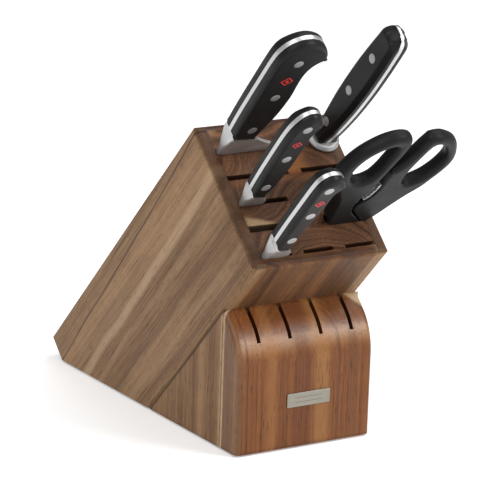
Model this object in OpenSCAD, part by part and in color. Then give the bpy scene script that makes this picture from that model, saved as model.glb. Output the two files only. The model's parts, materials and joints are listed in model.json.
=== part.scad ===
// Knife block with three forged knives, a sharpening steel and kitchen shears.
// Everything that leans is drawn in the box frame: x across the block, y from the
// front edge of the top face towards its back edge, z out of the slots (negative
// values are inside the box). The origin of the whole model is the middle of its
// footprint, on the surface that it stands on.

/* [Box] */
// Width of the block across the slots
block_w = 102; // [98:0.5:106]
// Angle of the slots above the table, in degrees
lean = 46; // [44:0.5:48]
// Depth of the top face, front edge to back edge
box_depth = 107.4; // [107.2:0.1:109]
// Length of the long back edge
back_len = 260.6; // [256:0.2:266]
// Length of the front face, from the top edge down to the table
front_len = 174.5; // [172:0.5:177]
// Thickness of the two side panels
side_t = 8.4; // [8:0.1:9]
// Thickness of the front panel
front_t = 6.5; // [6:0.1:7]
// Thickness of each of the five core boards
board_t = 19.4; // [19.2:0.1:19.6]
// Radius of the sanded outer edges
edge_r = 3.5; // [2:0.5:3.5]

/* [Base] */
// Thickness of the front board of the base
base_board_t = 19.8; // [18:0.2:21]
// Distance from the front face of the base to where the box meets the table
toe_y = 107.3; // [106:0.1:109]
// Radius of the big curve at the top of the base
brow_r = 40; // [34:1:44]
// Width of the saw cuts for the table knives
kerf_w = 2.7; // [2:0.1:3.5]
// Depth of the saw cuts, in front of the box
kerf_d = 25; // [18:1:28]
// Distance between the saw cuts
kerf_pitch = 23.4; // [22:0.2:24]
// Thickness of the rubber feet
foot_h = 1.5; // [1:0.1:3]
// Radius of the rubber feet
foot_r = 6; // [4:0.5:7]

/* [Slots] */
// Width of the three narrow slots of the front row
narrow_w = 22.6; // [20:0.2:23]
// Length of each of the two wide slots on the left
wide_w = 45.6; // [44:0.2:47]
// Thickness of the slots of the front row
thin_slot = 3; // [2.8:0.1:3.4]
// Thickness of the slots of the third and fourth rows
mid_slot = 3.5; // [3.2:0.1:4]
// Thickness of the back row's knife slot
thick_slot = 4; // [3.6:0.1:4.4]

/* [Knives] */
// Thickness of every tang
tang_t = 3; // [2.6:0.1:3.2]
// Radius of every handle rivet
rivet_r = 3.3; // [2.5:0.1:3.6]
// Thickness of the big knife's handle
chef_handle_t = 14.4; // [13:0.2:16]
// Thickness of the two small knives' handles
small_handle_t = 13; // [12:0.2:14]

/* [Steel] */
// Diameter of the sharpening rod
rod_d = 8.6; // [7:0.1:8.6]
// Length of the rod below its guard
rod_len = 228; // [180:1:230]
// Radius of the guard
guard_r = 11.8; // [10:0.1:12]
// Thickness of the steel's handle
steel_handle_t = 14.4; // [13:0.2:16]

/* [Shears] */
// Thickness of the shears' handles
shears_t = 10; // [9:0.2:11]
// Thickness of each of the shears' blades
shears_blade_t = 2.4; // [2:0.1:2.5]
// Radius of the shears' pivot screw
pivot_r = 3; // [2:0.1:3.5]

/* [Hidden] */
$fn = 48;

// Clearance between pieces that part, and how far a cutter runs past a face
gap = 0.3;
over = 1;
big = 600;

// The box frame in the frame of the block
rise = sin(lean);
run = cos(lean);
nose_y = toe_y - front_len * run;
nose_z = front_len * rise;

// Board joints, measured back from the front edge of the top face
function joint(i) = front_t + board_t * (i - 1);
back_t = box_depth - joint(6);
core_w = block_w - 2 * side_t;
core_x = core_w / 2;

// How deep the slots of each row run
row_depth = [125, 140, 170, 200, 215];

// Middle planes of the knives and the axis of the steel
chef_v = joint(5) + thick_slot / 2;
utility_v = joint(3) + mid_slot / 2;
paring_v = joint(1) + thin_slot / 2;
rod_room = 0.2;
steel_x = core_x - rod_d / 2 - rod_room;
steel_v = joint(5) + rod_d / 2 + rod_room;
steel_slot = rod_d + 2 * rod_room;

// The shears' slot, plane and pivot
shears_slot = 6.2;
shears_v = joint(2) + shears_slot / 2;
shears_x0 = 13.5;
pivot = [28.2, -24];
pivot_head_r = 5;
pivot_head_t = 0.25;
blade_play = 0.1;

shears_front = shears_v - blade_play / 2 - shears_blade_t;
shears_back = shears_v + blade_play / 2 + shears_blade_t;

// Saw cuts of the base: four, spread a little right of the middle
kerf_mid = 1;
kerf_x = [for (i = [-1.5:1:1.5]) kerf_mid + i * kerf_pitch];

// The top of the base meets the box square, this far below the top face
brow_t = (toe_y - base_board_t) / run - front_len;
brow_z = (toe_y - base_board_t) * rise / run;
// Where the sloping top of the base would meet its front face
brow_corner_z = brow_z - base_board_t * run / rise;
brow_tangent = brow_r * tan((90 - (90 - lean)) / 2);

// Dowels between the base and the box
dowel_r = 4;
dowel_len = 34;
dowel_v0 = -16;
dowel_t = -142;
dowel_x = [kerf_mid - kerf_pitch, kerf_mid + kerf_pitch];

// Nameplate
plate_w = 32.3;
plate_h = 9.2;
plate_t = 1;
plate_x = 2;
plate_z = 31.3;
plate_pin_r = 0.8;
plate_pin_x = 13.4;
plate_pin_len = 7;

// Feet
foot_x = 37;
foot_y = [15, 208];

// A smooth curve through the points p, with n steps from each point to the next
function spline_at(a, b, c, d, s) =
    0.5 * (2 * b + (c - a) * s + (2 * a - 5 * b + 4 * c - d) * s * s
        + (3 * b - a - 3 * c + d) * s * s * s);
function smooth_run(p, n = 5) = let (last = len(p) - 1) concat(
    [for (i = [0:last - 1], k = [0:n - 1])
        spline_at(p[max(i - 1, 0)], p[i], p[i + 1], p[min(i + 2, last)], k / n)],
    [p[last]]);
function smooth_loop(p, n = 5) = let (m = len(p))
    [for (i = [0:m - 1], k = [0:n - 1])
        spline_at(p[(i + m - 1) % m], p[i], p[(i + 1) % m], p[(i + 2) % m], k / n)];
function mirrored(p, x) = [for (i = [len(p) - 1:-1:0]) [2 * x - p[i][0], p[i][1]]];

// Handle outlines in the plane of the blade, spine first, then round the butt
chef_start = 23;
chef_handle = concat(
    smooth_run([[-44.6, chef_start], [-46.5, 44], [-48.2, 76], [-49.2, 103], [-47.6, 112.5],
        [-44.2, 118], [-39.3, 121.4], [-32.3, 122.7], [-25, 120.7], [-19, 116], [-15.6, 110.5],
        [-14.2, 106]]),
    smooth_run([[-15.2, 104.3], [-19.5, 100.8], [-22.2, 95.5], [-23, 89], [-22.5, 80],
        [-21.3, 67], [-22, 50], [-24.6, 35], [-27.2, chef_start]]));
chef_rivet_x = -34.4;
chef_rivet_t = [33.6, 68.9, 104.2];

utility_start = 16;
utility_handle = smooth_run([[-42.9, utility_start], [-44.7, 37], [-46.2, 64], [-46.6, 81],
    [-45.3, 91], [-42, 97.8], [-36.6, 100.7], [-30.8, 99], [-27.4, 94], [-28.2, 88.5],
    [-29.8, 83], [-30, 75.5], [-29, 52], [-30.3, 28], [-33, utility_start]]);
utility_rivet_x = -38;
utility_rivet_t = [27.7, 59, 90.3];

paring_start = 16;
paring_handle = smooth_run([[-41.8, paring_start], [-42.7, 36], [-43.2, 60], [-43.3, 80],
    [-41.7, 88.3], [-36.6, 92.2], [-30.8, 91.7], [-26.2, 88.3], [-24.4, 84.4], [-26, 81],
    [-28.4, 76.5], [-28.8, 69], [-29.7, 53], [-31.2, 32], [-32, paring_start]]);
paring_rivet_x = -36;
paring_rivet_t = [27.5, 55, 82.5];

// Blades: the spine runs just inside the left end of the slot
spine_x = -core_x + gap;
chef_heel = 0.5;
chef_blade_len = 203;
chef_blade_edge = smooth_run([[chef_heel, gap], [-0.5, -40], [-3.5, -90], [-10.5, -140],
    [-22, -178], [spine_x + 1.2, -chef_blade_len]]);
utility_heel = -24;
utility_blade_len = 155;
utility_blade_edge = smooth_run([[utility_heel, gap], [-24.6, -50], [-26.8, -95],
    [-32, -132], [spine_x + 0.8, -utility_blade_len]]);
paring_heel = -22.4;
paring_blade_len = 92;
paring_blade_edge = smooth_run([[paring_heel, gap], [-23.2, -30], [-26.6, -60],
    [-32.5, -80], [spine_x + 0.8, -paring_blade_len]]);

// Bolsters: side outlines, and how their half thickness grows towards the handle
chef_bolster = concat([[spine_x, gap]],
    smooth_run([[chef_heel, gap], [0.3, 2.6], [-4, 5.6], [-11, 8.8], [-18, 13], [-23, 18],
        [-27.2, chef_start]], 3),
    smooth_run([[-44.6, chef_start], [-43.7, 12], [spine_x, gap]], 3));
utility_bolster = concat([[spine_x, gap]],
    smooth_run([[utility_heel, gap], [-23.8, 3], [-26.4, 7], [-30.4, 11.5],
        [-33, utility_start]], 3),
    smooth_run([[-42.9, utility_start], [-42.7, 8], [spine_x, gap]], 3));
paring_bolster = concat([[spine_x, gap]],
    smooth_run([[paring_heel, gap], [-22.2, 3], [-25, 7], [-29.2, 11.5], [-32, paring_start]], 3),
    smooth_run([[-41.8, paring_start], [-42.2, 8], [spine_x, gap]], 3));
foot_half_t = 2.1;
function flare(start, half_t) = smooth_run([[foot_half_t, gap], [foot_half_t + 0.4, 0.14 * start],
    [foot_half_t + 0.26 * (half_t - foot_half_t), 0.38 * start],
    [foot_half_t + 0.68 * (half_t - foot_half_t), 0.68 * start], [half_t, start]], 3);

// The steel's handle, in the plane across the block's depth
steel_start = 3.9;
steel_handle = smooth_run([[82, steel_start], [79.6, 20], [77.8, 40], [77.1, 60],
    [77.4, 80], [78.5, 101], [79.6, 110.5], [82.6, 115.2], [88, 116.8], [93.6, 115.5],
    [96.8, 110.5], [97.7, 101], [98.6, 80], [98.6, 63], [97.8, 43], [96.2, 27], [94.6, 14],
    [93.6, steel_start]]);
steel_rivet_v = 88;
steel_rivet_t = [20.6, 55, 89.4];

// Shears: handle outlines with their finger holes, and the blades
shears_left_out = concat(
    [[36.6, 1.4], [36.6, gap]],
    smooth_run([[16, gap], [13.6, 3], [12.3, 10], [11.2, 20], [8, 30.5], [2, 40], [-4, 48],
        [-6.4, 58], [-5, 68.4], [-0.4, 78.8], [6, 86.8], [13.8, 92.4], [22.4, 95], [30.4, 93.2],
        [34.4, 86.4], [34.2, 77], [33, 66], [31.6, 56], [30.9, 46], [28.3, 37], [25.2, 30],
        [23.9, 24], [24.1, 17.5], [26.4, 12.2]]));
shears_left_hole = smooth_loop([[4.6, 57.6], [4.4, 65.8], [6.8, 73.8], [11.6, 80], [18.4, 84.4],
    [23.6, 83.8], [25, 77], [24.4, 65.8], [23.6, 56.4], [20.4, 48.7], [13.6, 46.2], [7.8, 49.7]]);
shears_right_out = concat(
    [[37.6, gap]],
    smooth_run([[43, gap], [46, 2.7], [49.6, 8], [54, 15.9], [60.8, 26.7], [68.8, 36.6], [75.8, 49.6],
        [78.4, 62.5], [74.8, 74.2], [69.4, 83.2], [61, 88.6], [53.8, 90.8], [47, 88.8],
        [44.4, 81], [42, 70.6], [38.8, 62], [34.2, 56.5], [32.4, 51], [33.2, 44], [34, 37],
        [32.4, 29], [28.6, 23.4], [26.2, 18.6], [27, 13.4], [37.6, 1.4]]));
shears_right_hole = smooth_loop([[49.8, 59.8], [51.4, 71.4], [53.4, 80], [57, 81.6],
    [63.2, 77.8], [69, 69.3], [70, 60], [67.4, 49.9], [62.2, 42], [55.4, 38.2],
    [49.8, 41.6], [48.8, 50.4]]);
blade_tip_t = -110;
shears_blade_out = concat([[27, gap], [15.6, gap]],
    smooth_run([[17.2, -12], [20, -26], [25.4, -50], [pivot[0] + 0.6, blade_tip_t]]),
    smooth_run([[pivot[0] + 1.6, blade_tip_t], [34.6, -80], [38.2, -52], [37.6, -32],
        [34.4, -16], [27, gap]]));
// The part of each shears blade that the plastic is moulded round
left_shank = [[16.4, -1], [26.2, -1], [22.6, 18], [19.4, 30], [14.4, 30], [15.8, 14]];
right_shank = [[30.4, -1], [40, -1], [43.4, 9], [46.6, 20], [41.6, 24], [35.4, 12]];
// Room behind the left handle's toe for the right half's steel
toe_clear = [[26, 16], [28.4, 8], [28.4, -1], [60, -1], [60, 16]];
// Toothed steel liners of the opener between the handles
jaw_t = 7.6;
teeth = 5;
jaw_left_line = [[23.9, 22], [24.6, 28], [27.4, 35], [29.4, 41]];
jaw_right_line = [[29.2, 24.6], [32.4, 30], [33.9, 36], [33.6, 41.5]];
function toothed(p, side) = let (n = len(p) - 1) [for (i = [0:n - 1], k = [0:teeth - 1])
    let (s = k / teeth) p[i] * (1 - s) + p[i + 1] * s + [side * (k % 2 == 0 ? 0.4 : 1.2), 0]];

// Where the whole footprint's middle is, from the outermost points of the outlines
function far_y(p, v) = min([for (q = p) nose_y + v * rise - q[1] * run]);
right_most = max([for (q = shears_right_out) q[0]]);
back_most = nose_y + (box_depth - edge_r) * rise + (back_len - edge_r) * run + edge_r;
front_most = far_y(paring_handle, paring_v - small_handle_t / 2);
mid_x = (right_most - block_w / 2) / 2;
mid_y = (back_most + front_most) / 2;

// Placing: the block's own frame, and the leaning frame of the box
module on_table() {
    translate([-mid_x, -mid_y, foot_h]) children();
}
module in_box() {
    on_table() translate([0, nose_y, nose_z]) rotate([90 - lean, 0, 0]) children();
}
// An outline in x and z, thick along y, from y0 to y1
module sheet(y0, y1) {
    translate([0, y1, 0]) rotate([90, 0, 0]) linear_extrude(y1 - y0) children();
}
// An outline in y and z, thick along x, from x0 to x1
module slab(x0, x1) {
    translate([x0, 0, 0]) rotate([90, 0, 90]) linear_extrude(x1 - x0) children();
}
module round_rect(x0, y0, x1, y1, r) {
    translate([x0 + r, y0]) square([x1 - x0 - 2 * r, y1 - y0]);
    translate([x0, y0 + r]) square([x1 - x0, y1 - y0 - 2 * r]);
    for (x = [x0 + r, x1 - r], y = [y0 + r, y1 - r]) translate([x, y]) circle(r);
}
module block_between(x0, y0, z0, x1, y1, z1) {
    translate([x0, y0, z0]) cube([x1 - x0, y1 - y0, z1 - z0]);
}

// The sanded outside of the box: its rounded edges, and the flat cut it stands on
module side_outline() {
    slab(-block_w, block_w) round_rect(0, -back_len, box_depth, 0, edge_r);
}
module long_edges() {
    translate([0, 0, -back_len - over]) linear_extrude(back_len + 2 * over)
        round_rect(-block_w / 2, 0, block_w / 2, box_depth, edge_r);
}
module end_edges() {
    sheet(-over, box_depth + over) round_rect(-block_w / 2, -back_len, block_w / 2, 0, edge_r);
}
module above_table() {
    on_table() translate([-big / 2, -big / 2, 0]) cube(big);
}
module box_piece(x0, v0, x1, v1) {
    intersection() {
        in_box() intersection() {
            block_between(x0, v0, -back_len, x1, v1, 0);
            side_outline();
            long_edges();
            end_edges();
        }
        above_table();
    }
}
// A slot routed into the front face of a core board
module slot(i, x0, x1, thick, depth) {
    in_box() block_between(x0, joint(i) - over, -depth, x1, joint(i) + thick, over);
}
module core_piece(i) {
    intersection() {
        in_box() intersection() {
            block_between(-core_x, joint(i), -back_len, core_x, joint(i + 1), 0);
            side_outline();
        }
        above_table();
    }
}

module side_panel(side) {
    outer = side * block_w / 2;
    inner = side * core_x;
    color([0.60, 0.45, 0.31]) box_piece(min(inner, outer), 0, max(inner, outer), box_depth);
}
module front_panel() {
    color([0.55, 0.38, 0.24]) difference() {
        box_piece(-core_x, 0, core_x, front_t);
        dowel_holes();
    }
}
module back_panel() {
    color([0.50, 0.35, 0.22]) box_piece(-core_x, joint(6), core_x, box_depth);
}
module core_board_1() {
    color([0.46, 0.31, 0.20]) difference() {
        core_piece(1);
        for (x = [-core_x, -narrow_w / 2, core_x - narrow_w])
            slot(1, x, x + narrow_w, thin_slot, row_depth[0]);
        dowel_holes();
    }
}
module core_board_2() {
    color([0.52, 0.36, 0.22]) difference() {
        core_piece(2);
        slot(2, -core_x, -shears_x0 - over, 4.8, row_depth[1]);
        slot(2, shears_x0, core_x, shears_slot, row_depth[1]);
    }
}
module core_board_3() {
    color([0.50, 0.32, 0.19]) difference() {
        core_piece(3);
        slot(3, -core_x, -6, mid_slot, row_depth[2]);
        slot(3, shears_x0, core_x, mid_slot, row_depth[2]);
    }
}
module core_board_4() {
    color([0.56, 0.38, 0.23]) difference() {
        core_piece(4);
        slot(4, -core_x, wide_w - core_x, mid_slot, row_depth[3]);
        slot(4, shears_x0 - over, core_x, mid_slot, row_depth[3]);
    }
}
module core_board_5() {
    color([0.48, 0.32, 0.20]) difference() {
        core_piece(5);
        slot(5, -core_x, wide_w - core_x, thick_slot, row_depth[4]);
        slot(5, core_x - steel_slot, core_x, steel_slot, rod_len + 4);
    }
}

// The outside of the base's front board: face, big curve and sloping top, each
// with rounded edges along both sides
module base_outside() {
    half = block_w / 2;
    centre_z = brow_corner_z - brow_tangent;
    linear_extrude(centre_z) round_rect(-half, 0, half, big / 2, edge_r);
    translate([0, brow_r, centre_z]) {
        rotate([90, 0, 90]) rotate([0, 0, 180 - lean]) rotate_extrude(angle = lean)
            intersection() {
                round_rect(-brow_r, -half, brow_r, half, edge_r);
                translate([0, -half]) square([brow_r, block_w]);
            }
        rotate([90 - lean, 0, 0])
            sheet(0, brow_r) round_rect(-half, -big / 2, half, brow_r, edge_r);
    }
}
module kerfs() {
    in_box() for (x = kerf_x)
        block_between(x - kerf_w / 2, -kerf_d, -front_len - kerf_d, x + kerf_w / 2, over, 0);
}
module dowel_holes() {
    in_box() for (x = dowel_x) translate([x, dowel_v0, dowel_t]) rotate([-90, 0, 0])
        cylinder(r = dowel_r, h = dowel_len);
}
module base_front_board() {
    color([0.58, 0.34, 0.20]) difference() {
        on_table() intersection() {
            base_outside();
            block_between(-block_w, 0, 0, block_w, base_board_t, big);
        }
        kerfs();
        plate_pins_at(plate_pin_r);
    }
}
module base_rear_wedge() {
    color([0.62, 0.47, 0.32]) difference() {
        on_table() slab(-block_w / 2, block_w / 2)
            polygon([[base_board_t, 0], [toe_y, 0], [base_board_t, brow_z]]);
        kerfs();
        dowel_holes();
    }
}
module base_dowels() {
    color([0.85, 0.72, 0.52]) dowel_holes();
}
module feet() {
    color([0.12, 0.12, 0.12]) translate([-mid_x, -mid_y, 0])
        for (x = [-foot_x, foot_x], y = foot_y) translate([x, y, 0])
            cylinder(r = foot_r, h = foot_h);
}
module plate_pins_at(r) {
    on_table() for (x = [-plate_pin_x, plate_pin_x])
        translate([plate_x + x, -plate_t, plate_z]) rotate([-90, 0, 0])
            cylinder(r = r, h = plate_pin_len);
}
module nameplate() {
    color([0.75, 0.73, 0.70]) difference() {
        on_table() block_between(plate_x - plate_w / 2, -plate_t, plate_z - plate_h / 2,
            plate_x + plate_w / 2, 0, plate_z + plate_h / 2);
        plate_pins_at(plate_pin_r);
    }
}
module nameplate_pins() {
    color([0.70, 0.69, 0.66]) plate_pins_at(plate_pin_r);
}

// Knives. Each is drawn about its own middle plane, v
module rivets_at(v, x, heights, half_t, r) {
    in_box() for (t = heights) translate([x, v - half_t, t]) rotate([-90, 0, 0])
        cylinder(r = r, h = 2 * half_t);
}
// A blade that thins from its spine to its edge
module ground_blade(v, spine_t, width, length) {
    edge_t = 0.3;
    translate([0, v, -length - over]) linear_extrude(length + 4 * over)
        polygon([[spine_x - over, -spine_t / 2], [spine_x + width, -edge_t / 2],
            [spine_x + width, edge_t / 2], [spine_x - over, spine_t / 2]]);
}
module forged_knife(v, edge, spine_t, bolster, start, half_t, handle, rivet_x, rivet_t) {
    length = -edge[len(edge) - 1][1];
    width = edge[0][0] - spine_x + over;
    side = flare(start, half_t);
    color([0.78, 0.79, 0.80]) difference() {
        union() {
            in_box() intersection() {
                sheet(v - half_t, v + half_t)
                    polygon(concat([[spine_x, 2 * over]], [[edge[0][0], 2 * over]], edge,
                        [[spine_x, -length + 2]]));
                ground_blade(v, spine_t, width, length);
            }
            in_box() intersection() {
                sheet(v - half_t, v + half_t) polygon(bolster);
                slab(-block_w, block_w) translate([v, 0])
                    polygon(concat(side, [for (i = [len(side) - 1:-1:0])
                        [-side[i][0], side[i][1]]]));
            }
            in_box() sheet(v - tang_t / 2, v + tang_t / 2) polygon(handle);
        }
        rivets_at(v, rivet_x, rivet_t, half_t + over, rivet_r);
    }
}
// One half of a handle: side is -1 for the riveted face that looks forward, 1 for the rear
module handle_scale(v, side, half_t, handle, rivet_x, rivet_t) {
    y0 = v + side * tang_t / 2;
    y1 = v + side * half_t;
    color([0.10, 0.10, 0.11]) difference() {
        in_box() sheet(min(y0, y1), max(y0, y1)) polygon(handle);
        rivets_at(v, rivet_x, rivet_t, half_t + over, rivet_r);
    }
}
module handle_rivets(v, half_t, rivet_x, rivet_t) {
    color([0.72, 0.72, 0.72]) rivets_at(v, rivet_x, rivet_t, half_t, rivet_r);
}
module chef_blade() {
    forged_knife(chef_v, chef_blade_edge, 2.6, chef_bolster, chef_start, chef_handle_t / 2,
        chef_handle, chef_rivet_x, chef_rivet_t);
}
module chef_scale(side) {
    handle_scale(chef_v, side, chef_handle_t / 2, chef_handle, chef_rivet_x, chef_rivet_t);
}
module chef_rivets() {
    handle_rivets(chef_v, chef_handle_t / 2, chef_rivet_x, chef_rivet_t);
}
module utility_blade() {
    forged_knife(utility_v, utility_blade_edge, 2, utility_bolster, utility_start,
        small_handle_t / 2, utility_handle, utility_rivet_x, utility_rivet_t);
}
module utility_scale(side) {
    handle_scale(utility_v, side, small_handle_t / 2, utility_handle, utility_rivet_x,
        utility_rivet_t);
}
module utility_rivets() {
    handle_rivets(utility_v, small_handle_t / 2, utility_rivet_x, utility_rivet_t);
}
module paring_blade() {
    forged_knife(paring_v, paring_blade_edge, 1.8, paring_bolster, paring_start,
        small_handle_t / 2, paring_handle, paring_rivet_x, paring_rivet_t);
}
module paring_scale(side) {
    handle_scale(paring_v, side, small_handle_t / 2, paring_handle, paring_rivet_x,
        paring_rivet_t);
}
module paring_rivets() {
    handle_rivets(paring_v, small_handle_t / 2, paring_rivet_x, paring_rivet_t);
}

// Sharpening steel: a rod with a flat tang, turned a quarter from the knives
module steel_rivets_at(half_t, r) {
    in_box() for (t = steel_rivet_t) translate([steel_x - half_t, steel_rivet_v, t])
        rotate([0, 90, 0]) cylinder(r = r, h = 2 * half_t);
}
module steel_rod() {
    tip_len = 6;
    color([0.74, 0.75, 0.76]) difference() {
        in_box() {
            translate([steel_x, steel_v, -rod_len + tip_len])
                cylinder(d = rod_d, h = rod_len - tip_len + gap);
            translate([steel_x, steel_v, -rod_len])
                cylinder(d1 = rod_d / 3, d2 = rod_d, h = tip_len);
            translate([steel_x, steel_v, gap]) cylinder(d = rod_d - 2, h = steel_start - gap);
            slab(steel_x - tang_t / 2, steel_x + tang_t / 2) polygon(steel_handle);
        }
        steel_rivets_at(steel_handle_t, rivet_r);
    }
}
module steel_guard() {
    bevel = 0.8;
    color([0.76, 0.77, 0.78]) in_box() translate([steel_x, steel_v, gap]) rotate_extrude()
        polygon([[rod_d / 2 - 1, 0], [guard_r - bevel / 2, 0], [guard_r, bevel],
            [guard_r - 0.3, 2], [guard_r - 1.2, steel_start - gap - 0.6],
            [guard_r - 2, steel_start - gap], [rod_d / 2 - 1, steel_start - gap]]);
}
module steel_scale(side) {
    x0 = steel_x + side * tang_t / 2;
    x1 = steel_x + side * steel_handle_t / 2;
    color([0.13, 0.13, 0.14]) difference() {
        in_box() slab(min(x0, x1), max(x0, x1)) polygon(steel_handle);
        steel_rivets_at(steel_handle_t, rivet_r);
    }
}
module steel_rivets() {
    color([0.72, 0.72, 0.72]) steel_rivets_at(steel_handle_t / 2, rivet_r);
}

// Shears: the left half lies in front at the pivot, the right half behind
module pivot_cylinder(r, y0, y1) {
    in_box() translate([pivot[0], y0, pivot[1]]) rotate([-90, 0, 0]) cylinder(r = r, h = y1 - y0);
}
module left_blade_solid() {
    sheet(shears_front, shears_v - blade_play / 2) {
        polygon(shears_blade_out);
        polygon(left_shank);
    }
}
module right_blade_solid() {
    sheet(shears_v + blade_play / 2, shears_back) {
        polygon(mirrored(shears_blade_out, pivot[0]));
        polygon(right_shank);
    }
}
module shears_blade_left() {
    color([0.76, 0.77, 0.79]) difference() {
        in_box() left_blade_solid();
        pivot_cylinder(pivot_r, shears_front - over, shears_back + over);
    }
}
module shears_blade_right() {
    color([0.76, 0.77, 0.79]) difference() {
        in_box() right_blade_solid();
        pivot_cylinder(pivot_r + blade_play / 2, shears_front - over, shears_back + over);
    }
}
module left_jaw_solid() {
    sheet(shears_v - jaw_t / 2, shears_v + jaw_t / 2)
        polygon(concat(toothed(jaw_left_line, 1), [[29.4, 41], [26.4, 42], [22.8, 36], [21.8, 24]]));
}
module right_jaw_solid() {
    sheet(shears_v - jaw_t / 2, shears_v + jaw_t / 2)
        polygon(concat(toothed(jaw_right_line, -1), [[33.6, 41.5], [36.6, 42], [37, 36], [34.4, 26]]));
}
module shears_handle_left() {
    color([0.11, 0.11, 0.12]) in_box() difference() {
        sheet(shears_v - shears_t / 2, shears_v + shears_t / 2) difference() {
            polygon(shears_left_out);
            polygon(shears_left_hole);
        }
        left_blade_solid();
        left_jaw_solid();
        sheet(shears_v - blade_play, shears_v + shears_t) polygon(toe_clear);
    }
}
module shears_handle_right() {
    color([0.11, 0.11, 0.12]) in_box() difference() {
        sheet(shears_v - shears_t / 2, shears_v + shears_t / 2) difference() {
            polygon(shears_right_out);
            polygon(shears_right_hole);
        }
        right_blade_solid();
        right_jaw_solid();
    }
}
module shears_jaw_left() {
    color([0.70, 0.71, 0.72]) in_box() left_jaw_solid();
}
module shears_jaw_right() {
    color([0.70, 0.71, 0.72]) in_box() right_jaw_solid();
}
module shears_pivot_screw() {
    color([0.80, 0.80, 0.80]) {
        pivot_cylinder(pivot_r, shears_front - pivot_head_t,
            shears_back + blade_play / 2 + pivot_head_t);
        pivot_cylinder(pivot_head_r, shears_front - pivot_head_t, shears_front);
    }
}
module shears_pivot_nut() {
    seat = shears_back + blade_play / 2;
    color([0.80, 0.80, 0.80]) difference() {
        pivot_cylinder(pivot_head_r, seat, seat + pivot_head_t);
        pivot_cylinder(pivot_r, seat - over, seat + over);
    }
}

side_panel(-1);  // side_panel_left
side_panel(1);  // side_panel_right
front_panel();
back_panel();
core_board_1();
core_board_2();
core_board_3();
core_board_4();
core_board_5();
base_front_board();
base_rear_wedge();
base_dowels();
feet();
nameplate();
nameplate_pins();
chef_blade();
chef_scale(-1);  // chef_scale_front
chef_scale(1);  // chef_scale_rear
chef_rivets();
utility_blade();
utility_scale(-1);  // utility_scale_front
utility_scale(1);  // utility_scale_rear
utility_rivets();
paring_blade();
paring_scale(-1);  // paring_scale_front
paring_scale(1);  // paring_scale_rear
paring_rivets();
steel_rod();
steel_guard();
steel_scale(-1);  // steel_scale_left
steel_scale(1);  // steel_scale_right
steel_rivets();
shears_blade_left();
shears_handle_left();
shears_jaw_left();
shears_blade_right();
shears_handle_right();
shears_jaw_right();
shears_pivot_screw();
shears_pivot_nut();
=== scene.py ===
"""Builds the looks of a knife block: solid acacia boards, three riveted knives, a
sharpening steel and a pair of kitchen shears, on a pale studio floor."""

import json
import math

import bmesh
import bpy
from mathutils import Matrix, Vector
from mathutils.geometry import tessellate_polygon


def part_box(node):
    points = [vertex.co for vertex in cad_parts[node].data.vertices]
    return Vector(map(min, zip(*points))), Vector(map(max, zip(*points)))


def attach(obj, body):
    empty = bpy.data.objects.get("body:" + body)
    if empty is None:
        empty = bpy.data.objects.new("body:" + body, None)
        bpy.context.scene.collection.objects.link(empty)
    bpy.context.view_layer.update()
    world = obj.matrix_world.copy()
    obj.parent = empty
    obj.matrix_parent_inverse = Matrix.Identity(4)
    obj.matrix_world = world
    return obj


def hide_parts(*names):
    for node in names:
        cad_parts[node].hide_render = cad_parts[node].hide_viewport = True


bl_info = {
    "name": "Knife block with knives",
    "version": (1, 0, 0),
    "blender": (4, 5, 0),
    "location": "View3D > Sidebar > Knife Block",
    "description": "Adds the finished knives, steel, shears and wood to a knife block",
    "category": "Add Mesh",
}

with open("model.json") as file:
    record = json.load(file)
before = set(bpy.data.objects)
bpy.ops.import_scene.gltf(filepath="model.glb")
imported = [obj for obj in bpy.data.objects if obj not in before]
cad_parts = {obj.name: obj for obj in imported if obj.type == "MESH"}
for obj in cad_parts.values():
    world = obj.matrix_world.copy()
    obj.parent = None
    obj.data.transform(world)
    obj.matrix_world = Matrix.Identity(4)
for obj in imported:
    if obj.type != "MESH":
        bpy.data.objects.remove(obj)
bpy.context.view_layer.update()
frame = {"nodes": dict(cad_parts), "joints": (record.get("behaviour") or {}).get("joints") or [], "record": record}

MM = 0.001


def frame_mount(name):
    return next(m for m in frame["record"]["mounts"] if m["name"] == name)


# The leaning frame of the box: x across, y from the front edge of the top face towards
# its back edge, z out of the slots. Pieces are drawn in it in millimetres.
ACROSS = Vector((1, 0, 0))
OUT = Vector(frame["joints"][0]["axis"]).normalized()
BACK = OUT.cross(ACROSS)
# The middle front slot lies this far behind the front edge, in millimetres
FRONT_SLOT = 8
ORIGIN = Vector(frame_mount("slot_front_middle")["pos_m"]) - BACK * FRONT_SLOT * MM
BOX = Matrix(
    [[*row, o] for row, o in zip(Matrix((ACROSS, BACK, OUT)).transposed(), ORIGIN)]
    + [[0, 0, 0, 1]]
)
LEAN = math.acos(OUT.z)
# The upright frame of the base: x across, y from its front face, z up
BASE_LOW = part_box("base_front_board")[0]
BASE = Matrix.Translation((ORIGIN.x, BASE_LOW.y, BASE_LOW.z))


def node_box(node, place=BOX):
    """Lowest and highest corners of a CAD node in a frame, in millimetres."""
    inverse = place.inverted()
    points = [inverse @ v.co / MM for v in frame["nodes"][node].data.vertices]
    low = Vector([min(p[i] for p in points) for i in range(3)])
    high = Vector([max(p[i] for p in points) for i in range(3)])
    return low, high


# ---------------------------------------------------------------- outlines, in millimetres


def spline_point(a, b, c, d, s):
    return tuple(
        0.5
        * (
            2 * b[i]
            + (c[i] - a[i]) * s
            + (2 * a[i] - 5 * b[i] + 4 * c[i] - d[i]) * s * s
            + (3 * b[i] - a[i] - 3 * c[i] + d[i]) * s**3
        )
        for i in (0, 1)
    )


def smooth_run(points, steps=6):
    last = len(points) - 1
    line = [
        spline_point(
            points[max(i - 1, 0)], points[i], points[i + 1], points[min(i + 2, last)], k / steps
        )
        for i in range(last)
        for k in range(steps)
    ]
    return line + [tuple(points[last])]


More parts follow.
